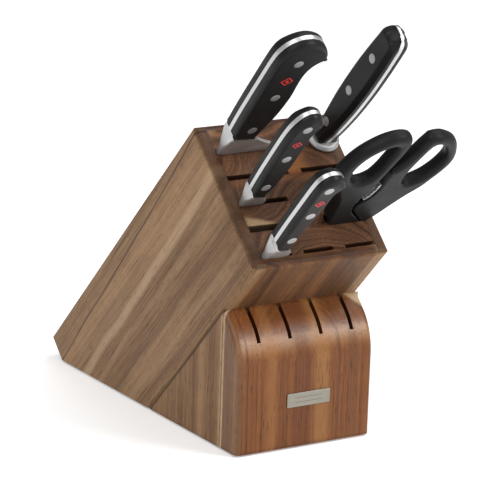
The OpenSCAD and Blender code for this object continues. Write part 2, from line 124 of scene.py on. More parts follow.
def smooth_loop(points, steps=6):
    m = len(points)
    return [
        spline_point(points[i - 1], points[i], points[(i + 1) % m], points[(i + 2) % m], k / steps)
        for i in range(m)
        for k in range(steps)
    ]


def value_on(curve, at):
    """Value of a curve of (at, value) points, straight between them."""
    for (a, p), (b, q) in zip(curve, curve[1:]):
        if at <= b:
            return p + (q - p) * max(0.0, (at - a) / (b - a))
    return curve[-1][1]


def ease(low, high, at):
    s = min(1.0, max(0.0, (at - low) / (high - low)))
    return s * s * (3 - 2 * s)


# Every knife, drawn as (x, z) points: the outline of its handle from the bolster over the
# butt and back; where the handle starts, the radius of its steel corner, and how far the
# rounding of the butt reaches; (height, x) points up the left and right edges of its bolster;
# where across the bolster thins out to its web, and the half thickness of the web low down
# and higher up; the cutting edge and half the thickness of the spine of its blade; and the
# place and size of its mark
KNIVES = {
    "chef": {
        "body": "chef_knife",
        "start": 23.0,
        "corner": 4.2,
        "butt": 12,
        "outline": smooth_run(
            [(-44.6, 23), (-46.5, 44), (-48.2, 76), (-49.2, 103), (-47.6, 112.5), (-44.2, 118),
             (-39.3, 121.4), (-32.3, 122.7), (-25, 120.7), (-19, 116), (-15.6, 110.5), (-14.2, 106)]
        )
        + smooth_run(
            [(-15.2, 104.3), (-19.5, 100.8), (-22.2, 95.5), (-23, 89), (-22.5, 80), (-21.3, 67),
             (-22, 50), (-24.6, 35), (-27.2, 23)]
        ),
        "left": [(0.3, -42.3), (6, -42.9), (12, -43.7), (18, -44.3), (23, -44.6)],
        "right": [(0.3, 0.5), (2.6, 0.3), (5.6, -4), (8.8, -11), (13, -18), (18, -23), (23, -27.2)],
        "belly": (-28.5, -17),
        "web": (1.9, 1.15),
        "edge": smooth_run(
            [(0.5, 0.3), (-0.5, -40), (-3.5, -90), (-10.5, -140), (-22, -178), (-41.1, -203)]
        ),
        "spine": 1.3,
        "mark": (-34.4, 86.5, 1.0),
    },
    "utility": {
        "body": "utility_knife",
        "start": 16.0,
        "corner": 3.6,
        "butt": 9,
        "outline": smooth_run(
            [(-42.9, 16), (-44.7, 37), (-46.2, 64), (-46.6, 81), (-45.3, 91), (-42, 97.8),
             (-36.6, 100.7), (-30.8, 99), (-27.4, 94), (-28.2, 88.5), (-29.8, 83), (-30, 75.5),
             (-29, 52), (-30.3, 28), (-33, 16)]
        ),
        "left": [(0.3, -42.3), (8, -42.7), (16, -42.9)],
        "right": [(0.3, -24), (3, -23.8), (7, -26.4), (11.5, -30.4), (16, -33)],
        "belly": (-32, -23),
        "web": (1.5, 1.5),
        "edge": smooth_run(
            [(-24, 0.3), (-24.6, -50), (-26.8, -95), (-32, -132), (-41.5, -155)]
        ),
        "spine": 1.0,
        "mark": (-38, 74.8, 0.8),
    },
    "paring": {
        "body": "paring_knife",
        "start": 16.0,
        "corner": 3.6,
        "butt": 9,
        "outline": smooth_run(
            [(-41.8, 16), (-42.7, 36), (-43.2, 60), (-43.3, 80), (-41.7, 88.3), (-36.6, 92.2),
             (-30.8, 91.7), (-26.2, 88.3), (-24.4, 84.4), (-26, 81), (-28.4, 76.5), (-28.8, 69),
             (-29.7, 53), (-31.2, 32), (-32, 16)]
        ),
        "left": [(0.3, -42.3), (8, -42.2), (16, -41.8)],
        "right": [(0.3, -22.4), (3, -22.2), (7, -25), (11.5, -29.2), (16, -32)],
        "belly": (-31, -21.5),
        "web": (1.5, 1.5),
        "edge": smooth_run([(-22.4, 0.3), (-23.2, -30), (-26.6, -60), (-32.5, -80), (-41.5, -92)]),
        "spine": 0.9,
        "mark": (-35.8, 68.8, 0.8),
    },
}

STEEL_START = 3.9
STEEL_OUTLINE = smooth_run(
    [(82, STEEL_START), (79.6, 20), (77.8, 40), (77.1, 60), (77.4, 80), (78.5, 101), (79.6, 110.5),
     (82.6, 115.2), (88, 116.8), (93.6, 115.5), (96.8, 110.5), (97.7, 101), (98.6, 80), (98.6, 63),
     (97.8, 43), (96.2, 27), (94.6, 14), (93.6, STEEL_START)]
)

SHEARS_LEFT = [(36.6, 1.4), (36.6, 0.3)] + smooth_run(
    [(16, 0.3), (13.6, 3), (12.3, 10), (11.2, 20), (8, 30.5), (2, 40), (-4, 48), (-6.4, 58),
     (-5, 68.4), (-0.4, 78.8), (6, 86.8), (13.8, 92.4), (22.4, 95), (30.4, 93.2), (34.4, 86.4),
     (34.2, 77), (33, 66), (31.6, 56), (30.9, 46), (28.3, 37), (25.2, 30), (23.9, 24),
     (24.1, 17.5), (26.4, 12.2)]
)
SHEARS_LEFT_HOLE = smooth_loop(
    [(4.6, 57.6), (4.4, 65.8), (6.8, 73.8), (11.6, 80), (18.4, 84.4), (23.6, 83.8), (25, 77),
     (24.4, 65.8), (23.6, 56.4), (20.4, 48.7), (13.6, 46.2), (7.8, 49.7)]
)
SHEARS_RIGHT = [(37.6, 0.3)] + smooth_run(
    [(43, 0.3), (46, 2.7), (49.6, 8), (54, 15.9), (60.8, 26.7), (68.8, 36.6), (75.8, 49.6),
     (78.4, 62.5), (74.8, 74.2), (69.4, 83.2), (61, 88.6), (53.8, 90.8), (47, 88.8), (44.4, 81), (42, 70.6),
     (38.8, 62), (34.2, 56.5), (32.4, 51), (33.2, 44), (34, 37), (32.4, 29), (28.6, 23.4),
     (26.2, 18.6), (27, 13.4), (37.6, 1.4)]
)
SHEARS_RIGHT_HOLE = smooth_loop(
    [(49.8, 59.8), (51.4, 71.4), (53.4, 80), (57, 81.6), (63.2, 77.8), (69, 69.3), (70, 60),
     (67.4, 49.9), (62.2, 42), (55.4, 38.2), (49.8, 41.6), (48.8, 50.4)]
)
PIVOT = (28.2, -24)
SHEARS_BLADE = [(27, 0.3), (15.6, 0.3)] + smooth_run(
    [(17.2, -12), (20, -26), (25.4, -50), (PIVOT[0] + 0.6, -110)]
) + smooth_run(
    [(PIVOT[0] + 1.6, -110), (34.6, -80), (38.2, -52), (37.6, -32), (34.4, -16), (27, 0.3)]
)[:-1]


# ---------------------------------------------------------------- mesh making


def turned_left(loop, hole=False):
    """The loop with its material on the left, and no point twice."""
    clean = [p for p, q in zip(loop, loop[1:] + loop[:1]) if math.dist(p, q) > 0.02]
    area = sum(p[0] * q[1] - q[0] * p[1] for p, q in zip(clean, clean[1:] + clean[:1]))
    return clean[::-1] if (area < 0) != hole else clean


def inward(loop):
    """The direction into the material at every point of a loop."""
    made = []
    for i, p in enumerate(loop):
        before = Vector(p) - Vector(loop[i - 1])
        after = Vector(loop[(i + 1) % len(loop)]) - Vector(p)
        a = Vector((-before.y, before.x)).normalized()
        b = Vector((-after.y, after.x)).normalized()
        middle = (a + b).normalized() if (a + b).length > 1e-6 else a
        made.append(middle / max(0.5, middle.dot(a)))
    return made


def room(loops, normals, most):
    """At every point, the radius that fits between it and the rest of the outline."""
    every = [Vector(p) for loop in loops for p in loop]
    rooms = []
    for loop, normal in zip(loops, normals):
        found = []
        for p, n in zip(loop, normal):
            best = most * 1.2
            for q in every:
                away = q - Vector(p)
                deep = away.dot(n)
                if deep > 1e-4:
                    best = min(best, away.length_squared / (2 * deep))
            found.append(best * 0.86)
        for _ in range(3):
            found = [
                min(r, (found[i - 1] + r + found[(i + 1) % len(found)]) / 3)
                for i, r in enumerate(found)
            ]
        rooms.append(found)
    return rooms


def rounded_solid(loops, low, high, low_round, high_round, steps=6, bulge=2.0):
    """A plate cut to an outline and its holes, thick along y from low to high, with its
    edges rounded over by a radius, or by a radius that depends on the place. A bulge of
    2 makes a round edge and a bulge of 1 a flat chamfer."""
    bm = bmesh.new()
    loops = [turned_left(loop, i > 0) for i, loop in enumerate(loops)]
    normals = [inward(loop) for loop in loops]
    rounds = [r if callable(r) else (lambda x, z, r=r: r) for r in (low_round, high_round)]
    most = max(r(*p) for r in rounds for p in loops[0])
    rooms = room(loops, normals, most)
    rings = []
    for face, way, radius in ((low, 1, rounds[0]), (high, -1, rounds[1])):
        flat = max(radius(*p) for p in loops[0]) == 0
        side = []
        for k in [steps] if flat else range(steps + 1):
            turn = math.radians(90) * k / steps
            out, up = math.sin(turn) ** (2 / bulge), max(0.0, math.cos(turn)) ** (2 / bulge)
            ring = []
            for loop, normal, near in zip(loops, normals, rooms):
                for p, n, r_near in zip(loop, normal, near):
                    wanted = radius(*p)
                    across = min(wanted, r_near)
                    deep = min(wanted, across * 1.3)
                    q = Vector(p) + n * across * (1 - out)
                    y = face if flat else face + way * deep * (1 - up)
                    ring.append(bm.verts.new(Vector((q.x, y, q.y)) * MM))
            side.append(ring)
        rings += side if way == 1 else side[::-1]
    starts = [0]
    for loop in loops:
        starts.append(starts[-1] + len(loop))
    for a, b in zip(rings, rings[1:]):
        for first, end in zip(starts, starts[1:]):
            for i in range(first, end):
                j = i + 1 if i + 1 < end else first
                bm.faces.new((a[i], a[j], b[j], b[i]))
    for ring in (rings[0], rings[-1]):
        points = [[ring[i].co.xzy for i in range(a, b)] for a, b in zip(starts, starts[1:])]
        for corner in tessellate_polygon(points):
            try:
                bm.faces.new([ring[i] for i in corner])
            except ValueError:
                continue
    return bm


def loft(rings):
    """A closed skin over rings of points in millimetres, all with the same number."""
    bm = bmesh.new()
    made = [[bm.verts.new(Vector(p) * MM) for p in ring] for ring in rings]
    for a, b in zip(made, made[1:]):
        for i in range(len(a)):
            j = (i + 1) % len(a)
            bm.faces.new((a[i], a[j], b[j], b[i]))
    bm.faces.new(made[0])
    bm.faces.new(made[-1])
    bmesh.ops.remove_doubles(bm, verts=bm.verts, dist=1e-7)
    bmesh.ops.dissolve_degenerate(bm, dist=1e-7, edges=bm.edges)
    return bm


def turned(profile, centre, axis="z", segments=72):
    """A turned piece: a profile of (radius, height) points round an axis, in millimetres."""
    rings = []
    for r, h in profile:
        ring = []
        for k in range(segments):
            a = math.tau * k / segments
            c, s = max(r, 1e-4) * math.cos(a), max(r, 1e-4) * math.sin(a)
            offset = {"z": (c, s, h), "y": (c, h, s), "x": (h, c, s)}[axis]
            ring.append([centre[i] + offset[i] for i in range(3)])
        rings.append(ring)
    return loft(rings)


def merged(parts):
    """One mesh of several, which are freed."""
    whole = bmesh.new()
    for part in parts:
        scratch = bpy.data.meshes.new("scratch")
        part.to_mesh(scratch)
        part.free()
        whole.from_mesh(scratch)
        bpy.data.meshes.remove(scratch)
    return whole


def add_piece(name, bm, body, material, replaced=(), place=BOX, sharp=36):
    """Turns a mesh into a piece that rides on a body."""
    bmesh.ops.recalc_face_normals(bm, faces=bm.faces)
    for face in bm.faces:
        face.smooth = True
    for edge in bm.edges:
        if len(edge.link_faces) == 2 and edge.calc_face_angle(0) > math.radians(sharp):
            edge.smooth = False
    mesh = bpy.data.meshes.new(name)
    bm.to_mesh(mesh)
    bm.free()
    mesh.materials.append(material)
    obj = bpy.data.objects.new(name, mesh)
    bpy.context.scene.collection.objects.link(obj)
    obj.matrix_world = place
    even = obj.modifiers.new("Even shading", "WEIGHTED_NORMAL")
    even.keep_sharp = True
    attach(obj, body)
    if replaced:
        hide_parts(*replaced)
    return obj


# ---------------------------------------------------------------- shader helpers


class Signal:
    """A shader node's result, which can be used in sums and products."""

    def __init__(self, graph, socket):
        self.graph, self.socket = graph, socket

    def __add__(self, other):
        return self.graph.calc("ADD", self, other)

    def __sub__(self, other):
        return self.graph.calc("SUBTRACT", self, other)

    def __mul__(self, other):
        return self.graph.calc("MULTIPLY", self, other)

    def __truediv__(self, other):
        return self.graph.calc("DIVIDE", self, other)

    def __abs__(self):
        return self.graph.calc("ABSOLUTE", self)

    def spread(self, low, high, new_low=0.0, new_high=1.0):
        """The range from low to high stretched to a new one, with soft ends."""
        ends = {0: self, 1: low, 2: high, 3: new_low, 4: new_high}
        return self.graph.put("MapRange", ends, interpolation_type="SMOOTHSTEP")


class Graph:
    """A tree of shader nodes that is being built."""

    def __init__(self, tree):
        self.tree = tree

    def feed(self, socket, value):
        """Links a signal to a socket, or gives the socket a constant."""
        if isinstance(value, Signal):
            self.tree.links.new(value.socket, socket)
        else:
            socket.default_value = value

    def add(self, kind, sockets=None, **settings):
        """A new node of a kind, with its settings and then its sockets filled in."""
        node = self.tree.nodes.new("ShaderNode" + kind)
        for key, value in settings.items():
            setattr(node, key, value)
        for key, value in (sockets or {}).items():
            self.feed(node.inputs[key], value)
        return node

    def put(self, kind, sockets=None, result=0, **settings):
        """One result of a new node."""
        return Signal(self, self.add(kind, sockets, **settings).outputs[result])

    def parts(self, vector):
        outputs = self.add("SeparateXYZ", {0: vector}).outputs
        return [Signal(self, socket) for socket in outputs]

    def calc(self, operation, *values):
        return self.put("Math", dict(enumerate(values)), operation=operation)

    def vector(self, operation, first, second, result=0):
        return self.put("VectorMath", {0: first, 1: second}, result, operation=operation)

    def stretched(self, vector, x, y, z):
        return self.vector("MULTIPLY", vector, (x, y, z))

    def noise(self, vector, scale, detail=3.0, roughness=0.55, distortion=0.0):
        sockets = {"Vector": vector, "Scale": scale, "Detail": detail, "Roughness": roughness,
                   "Distortion": distortion}
        return self.put("TexNoise", sockets)

    def blend(self, share, first, second, mode="MIX"):
        """A share of the second colour over the first one."""
        first, second = (c if isinstance(c, Signal) else (*c, 1.0) for c in (first, second))
        return self.put("Mix", {0: share, 6: first, 7: second}, 2, data_type="RGBA", blend_type=mode)

    def multiplied(self, share, first, second):
        return self.blend(share, first, second, "MULTIPLY")

    def use(self, name, **sockets):
        """The results of a node group, by name."""
        given = {key.replace("_", " ").title(): value for key, value in sockets.items()}
        node = self.add("Group", given, node_tree=GROUPS[name])
        return {socket.name: Signal(self, socket) for socket in node.outputs}


GROUPS = {}
NOWHERE = (0.0, 0.0, 0.0)


def group(name, inputs, outputs):
    """A new node group: its graph, its inputs by name, and the sockets of its results.
    An input is a number or a vector, as its default is, and every result a number."""
    tree = bpy.data.node_groups.new(name, "ShaderNodeTree")
    for label, default in inputs.items():
        kind = "NodeSocketFloat" if isinstance(default, float) else "NodeSocketVector"
        socket = tree.interface.new_socket(label, in_out="INPUT", socket_type=kind)
        socket.default_value = default
    for label in outputs:
        tree.interface.new_socket(label, in_out="OUTPUT", socket_type="NodeSocketFloat")
    GROUPS[name] = tree
    graph = Graph(tree)
    start, end = (tree.nodes.new("NodeGroup" + kind) for kind in ("Input", "Output"))
    given = {label: Signal(graph, start.outputs[label]) for label in inputs}
    return graph, given, end.inputs


def make_wood_figure():
    """Growth rings, fibre streaks, pores and broad colour drift of wood, with the grain
    along z and the pith on the z axis."""
    graph, given, results = group(
        "Wood figure",
        {"Vector": NOWHERE, "Ring Gap": 0.004, "Wander": 1.0, "Seed": 0.0},
        ["Rings", "Fibre", "Pores", "Drift", "Ripple"],
    )
    seed = graph.put("CombineXYZ", {axis: given["Seed"] for axis in range(3)})
    own = graph.vector("ADD", given["Vector"], seed)
    slow = graph.noise(graph.stretched(own, 1, 1, 0.10), 16, 2.0, 0.5)
    quick = graph.noise(graph.stretched(own, 1, 1, 0.05), 90, 2.0, 0.5)
    flat = graph.stretched(given["Vector"], 1, 1, 0)
    radius = graph.put("VectorMath", {0: flat}, "Value", operation="LENGTH")
    count = radius / given["Ring Gap"] + (slow - 0.5) * (given["Wander"] * 7.0) + quick * 0.7
    bands = graph.put(
        "TexNoise", {"W": count, "Scale": 0.8, "Detail": 4.0, "Roughness": 0.62},
        noise_dimensions="1D",
    )
    # Each ring darkens slowly outwards and ends at a crisp line
    saw = graph.calc("FRACT", count)
    late = graph.calc("POWER", saw, 3.0) * saw.spread(0.93, 1.0, 1.0, 0.0)
    graph.feed(results["Rings"], bands * 1.15 + late * 0.22 - 0.12)
    specks = graph.noise(graph.stretched(own, 1, 1, 0.075), 1500, 1.0, 0.5)
    graph.feed(results["Pores"], specks.spread(0.62, 0.74))
    for label, stretch, settings in (
        ("Fibre", (1, 1, 0.018), (1050, 3.0, 0.6)),
        ("Drift", (1, 1, 0.3), (26, 3.0, 0.55)),
        ("Ripple", (0.35, 0.35, 1), (120, 2.0, 0.5, 0.6)),
    ):
        graph.feed(results[label], graph.noise(graph.stretched(own, *stretch), *settings))


def make_edge_wear_and_light():
    """A mask that is 1 on the long edges and corners of a box-shaped part. It makes those edges less rough and
    places painted light on them: painted shade on most boards, a painted highlight on the front panel.
    """
    graph, given, results = group(
        "Edge wear and painted light",
        {"Vector": NOWHERE, "Low": NOWHERE, "High": (1.0, 1.0, 1.0), "Width": 0.003},
        ["Edge"],
    )
    above = graph.parts(graph.vector("SUBTRACT", given["Vector"], given["Low"]))
    below = graph.parts(graph.vector("SUBTRACT", given["High"], given["Vector"]))
    near = [
        (graph.calc("MINIMUM", *gaps) / given["Width"]).spread(0.0, 1.0, 1.0, 0.0)
        for gaps in zip(above, below)
    ]
    pairs = [near[i] * near[(i + 1) % 3] for i in range(3)]
    edge = graph.calc("MAXIMUM", graph.calc("MAXIMUM", pairs[0], pairs[1]), pairs[2])
    broken = graph.noise(given["Vector"], 220, 3.0, 0.6)
    graph.feed(results["Edge"], edge * broken.spread(0.3, 0.62, 0.45, 1.0))


def make_brush_lines():
    """Fine lines of a brushed or ground metal, drawn out by the Stretch vector, and a
    broad cloudiness."""
    graph, given, results = group(
        "Brush lines",
        {"Vector": NOWHERE, "Stretch": (1.0, 1.0, 0.03), "Scale": 1800.0},
        ["Lines", "Cloud"],
    )
    drawn = graph.vector("MULTIPLY", given["Vector"], given["Stretch"])
    graph.feed(results["Lines"], graph.noise(drawn, given["Scale"], 3.0, 0.65))
    graph.feed(results["Cloud"], graph.noise(given["Vector"], 70, 3.0, 0.55))


def make_handling():
    """Fingermarks, faint dust, tiny scratches and the grit of a handled surface."""
    graph, given, results = group(
        "Handling marks",
        {"Vector": NOWHERE, "Scale": 1.0},
        ["Smudge", "Dust", "Scratch", "Grit"],
    )
    own = graph.put("VectorMath", {0: given["Vector"], 3: given["Scale"]}, operation="SCALE")
    graph.feed(results["Smudge"], graph.noise(own, 45, 3.0, 0.6).spread(0.4, 0.68))
    specks = graph.put("TexVoronoi", {"Vector": own, "Scale": 650.0}, "Distance")
    graph.feed(results["Dust"], specks.spread(0.05, 0.14, 1.0, 0.0))
    lines = graph.noise(graph.stretched(own, 1, 1, 0.06), 900, 2.0, 0.5, 0.4)
    graph.feed(results["Scratch"], lines.spread(0.69, 0.76))
    graph.feed(results["Grit"], graph.noise(own, 2600, 2.0, 0.6))


# ---------------------------------------------------------------- materials


def new_material(name):
    """A material, its graph, the sockets of its shader, and the object's coordinates."""
    material = bpy.data.materials.new(name)
    material.use_nodes = True
    graph = Graph(material.node_tree)
    shader = material.node_tree.nodes["Principled BSDF"].inputs
    return material, graph, shader, graph.put("TexCoord", result="Object")


def finish(graph, shader, colour, rough, height, strength, depth):
    """Sends a colour, a roughness and a bump to a shader."""
    graph.feed(shader["Base Color"], colour)
    graph.feed(shader["Roughness"], rough)
    bump = graph.put("Bump", {"Height": height, "Strength": strength, "Distance": depth})
    graph.feed(shader["Normal"], bump)


def tinted(colour, share):
    return [min(1.0, c * share) for c in colour]


def wood_tones(middle, dark=0.60, light=1.32, warm=0.92):
    """Dark, middle and light colours round a middle one; the dark one is warmer."""
    shadow = (middle[0] * dark, middle[1] * dark * warm, middle[2] * dark * warm**2)
    return shadow, tuple(middle), tuple(tinted(middle, light))


def figured(graph, figure, tones, contrast, streaks):
    """The colour that rings, drift and fibre give plain wood."""
    rings, drift, fibre = 0.55 * contrast, 0.40, 0.42 * streaks
    tone = figure["Rings"] * rings + figure["Drift"] * drift + figure["Fibre"] * fibre
    ramp = graph.add("ValToRGB", {0: tone + (0.5 - 0.5 * (rings + drift + fibre))})
    dark, middle, light = tones
    stops = ramp.color_ramp.elements
    stops[0].position, stops[0].color = 0.32, (*light, 1.0)
    stops[1].position, stops[1].color = 0.72, (*dark, 1.0)
    stops.new(0.50).color = (*middle, 1.0)
    return Signal(graph, ramp.outputs[0])


def striped(graph, colour, own, figure, stripes, fan):
    """Adds streaks along the grain, and bands of painted highlight. Each stripe is the axis that it is placed on
    (0 across,
    1 deep), its place and half width in mm, its colour, its share, and how far it drifts in
    mm. A fan makes the places on the second axis spread out towards the top."""
    across, deep, up = graph.parts(own)
    fanned = deep * graph.calc("SUBTRACT", 1.0, up * fan)
    for axis, at, half, tint, share, drift in stripes:
        along = graph.noise(graph.stretched(own, 0.2, 0.2, 1), 12 + at % 3, 2.0, 0.5)
        line = (across, fanned)[axis] - at * MM + (along - 0.5) * (drift * MM)
        mask = abs(line).spread(half * MM * 0.25, half * MM, share, 0.0)
        colour = graph.blend(mask * figure["Fibre"].spread(0.25, 0.6, 0.7, 1.0), colour, tint)
    return colour


def patched(graph, colour, own, figure, patches):
    """Adds colour beyond a plane: pale sapwood and other tones, and dark patches of painted shade and shadow. Each
    patch is a point of the plane in mm, the way it faces, how soft its border is in mm, its colour and its share."""
    for point, way, softness, tint, share in patches:
        away = graph.vector("SUBTRACT", own, [c * MM for c in point])
        side = graph.vector("DOT_PRODUCT", away, Vector(way).normalized(), "Value")
        side = side + (figure["Drift"] - 0.5) * (softness * 2.5 * MM)
        mask = side.spread(-softness * MM, softness * MM, 0.0, share)
        colour = graph.blend(mask, colour, tint)
    return colour


def kerf_shaded(graph, colour, own, kerfs):
    """Paints shade on the walls of kerfs, each given by its middle, its half width and the depth
    that it starts at, square to the leaning face."""
    for middle, half, floor in kerfs:
        across = abs(graph.parts(own)[0] - middle * MM)
        mask = graph.calc("LESS_THAN", across, (half + 0.06) * MM)
        deep = graph.vector("DOT_PRODUCT", own, BACK, "Value")
        mask = mask * graph.calc("GREATER_THAN", deep, floor * MM)
        # The walls inside each kerf get painted shade
        colour = graph.multiplied(mask * 0.85, colour, (0.22, 0.15, 0.11))
    return colour


LEANING, UPRIGHT = "leaning", "upright"


def make_wood(node, grain, pith, gap, tones, wander, seed, end, contrast, stripes=(), patches=(),
              end_tint=(0.62, 0.50, 0.42), shine=0.18, rough=0.46, streaks=1.0, fan=0.0,
              painted_edge_tint=(0.50, 0.40, 0.34), kerfs=()):
    """Oiled acacia for a CAD node. The grain is leaning or upright. The pith is the place of the
    tree's middle and the gap the width of a ring, in mm. The end is how much the end
    grain takes the end tint. The edge tint is painted light on the edges and corners: painted shade when darker
    than 1, a painted highlight when lighter."""
    name = node.replace("_", " ").capitalize() + " wood"
    material, graph, shader, coordinates = new_material(name)
    leaning = grain == LEANING
    place = {
        "Vector": coordinates,
        "Location": ORIGIN if leaning else BASE.translation,
        "Rotation": (LEAN if leaning else 0.0, 0.0, 0.0),
    }
    own = graph.put("Mapping", place, vector_type="TEXTURE")
    from_pith = graph.vector("SUBTRACT", own, (pith[0] * MM, pith[1] * MM, 0))
    figure = graph.use("Wood figure", vector=from_pith, ring_gap=gap * MM, wander=wander, seed=seed)
    low, high = node_box(node, BOX if leaning else BASE)
    # An edge mask that makes the edges less rough, like wear, and carries the painted edge tint below: painted
    # shade on most boards, a painted highlight on the front panel
    worn = graph.use("Edge wear and painted light", vector=own, low=low * MM, high=high * MM, width=2.6 * MM)["Edge"]
    marks = graph.use("Handling marks", vector=own, scale=0.8)
    # How squarely the surface cuts across the fibres
    normal = graph.put("NewGeometry", result="Normal")
    fibres = OUT if leaning else Vector((0, 0, 1))
    cut = abs(graph.vector("DOT_PRODUCT", normal, fibres, "Value")).spread(0.25, 0.9)

    colour = figured(graph, figure, tones, contrast, streaks)
    colour = striped(graph, colour, own, figure, stripes, fan)
    colour = patched(graph, colour, own, figure, patches)
    for share, tint in (
        (figure["Fibre"].spread(0.5, 0.75) * (0.40 * streaks), (0.55, 0.47, 0.40)),
        (figure["Pores"] * 0.75, (0.38, 0.30, 0.25)),
        (figure["Ripple"].spread(0.45, 0.7) * 0.22, (1.30, 1.26, 1.20)),
        (cut * end, end_tint),
        # Painted shade on the edges and corners, where the grooves between the rounded boards lie in shade; a tint
        # above 1 paints a highlight there instead
        (worn * 0.6, painted_edge_tint),
    ):
        colour = graph.multiplied(share, colour, tint)
    colour = kerf_shaded(graph, colour, own, kerfs)

    gloss = figure["Fibre"] * 0.16 + rough + figure["Pores"] * 0.2
    gloss = gloss - marks["Smudge"] * 0.05 - worn * 0.10
    height = figure["Fibre"] * 0.6 - figure["Pores"] - figure["Rings"] * 0.35
    finish(graph, shader, colour, gloss, height, 0.32, 0.00012)
    shader["Specular IOR Level"].default_value = shine
    mesh = frame["nodes"][node].data
    mesh.materials.clear()
    mesh.materials.append(material)


def make_steel(name, colour, rough, stretch, scale, strength, brushed, metal=1.0):
    """Ground or polished steel with fine lines one way."""
    material, graph, shader, coordinates = new_material(name)
    lines = graph.use("Brush lines", vector=coordinates, stretch=stretch, scale=scale)
    marks = graph.use("Handling marks", vector=coordinates, scale=1.0)
    tint = graph.blend(lines["Lines"] * brushed, colour, tinted(colour, 0.62))
    tint = graph.blend(lines["Cloud"] * 0.25, tint, tinted(colour, 0.85))
    tint = graph.blend(marks["Scratch"] * 0.25, tint, tinted(colour, 1.3))
    gloss = lines["Lines"] * 0.14 + rough + marks["Smudge"] * 0.07
    finish(graph, shader, tint, gloss, lines["Lines"] + marks["Scratch"] * -0.8, strength, 0.0001)
    shader["Metallic"].default_value = metal
    return material


def make_plastic(name, colour, rough, grit, grit_depth, worn, light, shine):
    """Dark moulded plastic or rubber with a fine skin, hand wear and a little dust."""
    material, graph, shader, coordinates = new_material(name)
    marks = graph.use("Handling marks", vector=coordinates, scale=1.0)
    tint = graph.blend(marks["Grit"] * 0.45, colour, [c * 1.9 + 0.004 for c in colour])
    for mark, share, over in (
        ("Smudge", 0.18, light), ("Scratch", 0.10, tinted(light, 1.6)), ("Dust", 0.10, (0.2, 0.2, 0.19)),
    ):
        tint = graph.blend(marks[mark] * (share * worn), tint, over)
    gloss = marks["Grit"] * 0.16 + rough - marks["Smudge"] * 0.06
    finish(graph, shader, tint, gloss, marks["Grit"] - marks["Scratch"] * 0.6, grit, grit_depth)
    shader["Specular IOR Level"].default_value = shine
    return material


def make_enamel(name, colour):
    """Thin printed colour, a little worn."""
    material, graph, shader, coordinates = new_material(name)
    marks = graph.use("Handling marks", vector=coordinates, scale=2.0)
    tint = graph.blend(marks["Smudge"] * 0.2, colour, tinted(colour, 0.7))
    finish(graph, shader, tint, marks["Grit"] * 0.12 + 0.42, marks["Grit"], 0.08, 0.00003)
    return material


# Name, share of the steel's colour, roughness, how the brush lines are drawn out (they run
# along the axis with the smallest number), their scale, depth and strength, and metallic
ALONG_X, ALONG_Z = (0.02, 1, 1), (1, 1, 0.02)
STEELS = {
    "tang": ("Tang edge", 0.9, 0.26, ALONG_Z, 2200.0, 0.05, 0.35),
    "bolster": ("Polished bolster", 0.78, 0.26, (0.05, 1, 1), 1500.0, 0.10, 0.5, 0.85),
    "blade": ("Ground blade", 1.0, 0.22, (0.04, 1, 1), 1900.0, 0.10, 0.5),
    "rivet": ("Rivet faces", 0.60, 0.38, (1, 1, 0.3), 2600.0, 0.06, 0.3),
    "rod": ("Fluted rod", 0.85, 0.26, ALONG_Z, 2200.0, 0.2, 0.5),
    "guard": ("Satin guard", 0.50, 0.42, (1, 1, 1), 2400.0, 0.08, 0.4, 0.9),
    "jaw": ("Jaw steel", 0.72, 0.3, (1, 1, 0.2), 1500.0, 0.12, 0.5),
}
MATERIALS = {}


# ---------------------------------------------------------------- settings


def colour_setting(name, description, default):
    return bpy.props.FloatVectorProperty(
        name=name, description=description, subtype="COLOR", size=3, min=0, max=1, default=default
    )


def radius_setting(name, description, least, most, default):
    return bpy.props.FloatProperty(
        name=name, description=description, subtype="DISTANCE", unit="LENGTH",
        min=least, max=most, default=default,
    )


def light_setting(name, description, most, default, kind="NONE"):
    return bpy.props.FloatProperty(
        name=name, description=description, subtype=kind, unit=kind, min=0, max=most, default=default
    )


class KNIFEBLOCK_PG_wood(bpy.types.PropertyGroup):
    """Colours of the wood."""

    side: colour_setting(
        "Side panels", "Middle colour of the two side panels", (0.212, 0.124, 0.062)
    )
    core: colour_setting(
        "Core boards", "Middle colour of the slotted boards", (0.118, 0.056, 0.028)
    )
    front: colour_setting(
        "Front panel", "Middle colour of the front panel", (0.095, 0.042, 0.016)
    )
    base: colour_setting(
        "Base", "Middle colour of the front board of the base", (0.130, 0.043, 0.010)
    )
    wedge: colour_setting(
        "Wedge", "Middle colour of the rear wedge of the base", (0.165, 0.090, 0.041)
    )
    sapwood: colour_setting("Sapwood", "Colour of the pale sapwood", (0.400, 0.290, 0.170))


class KNIFEBLOCK_PG_cutlery(bpy.types.PropertyGroup):
    """Sizes and colours of the knives, the steel and the shears."""

    handle_round: radius_setting(
        "Handle rounding", "Radius along the outer edges of the handles", 0.0005, 0.004, 0.0026
    )
    butt_round: radius_setting(
        "Butt rounding", "Radius at the butts of the handles", 0.001, 0.006, 0.0052
    )
    shears_round: radius_setting(
        "Shears rounding", "Radius along the edges of the shears' handles", 0.001, 0.0049, 0.0044
    )
    plastic: colour_setting("Handles", "Colour of the handles", (0.005, 0.005, 0.005))
    steel: colour_setting("Steel", "Colour of the polished steel", (0.72, 0.72, 0.72))
    mark: colour_setting(
        "Mark", "Colour of the small lozenge on each knife handle", (0.62, 0.012, 0.014)
    )


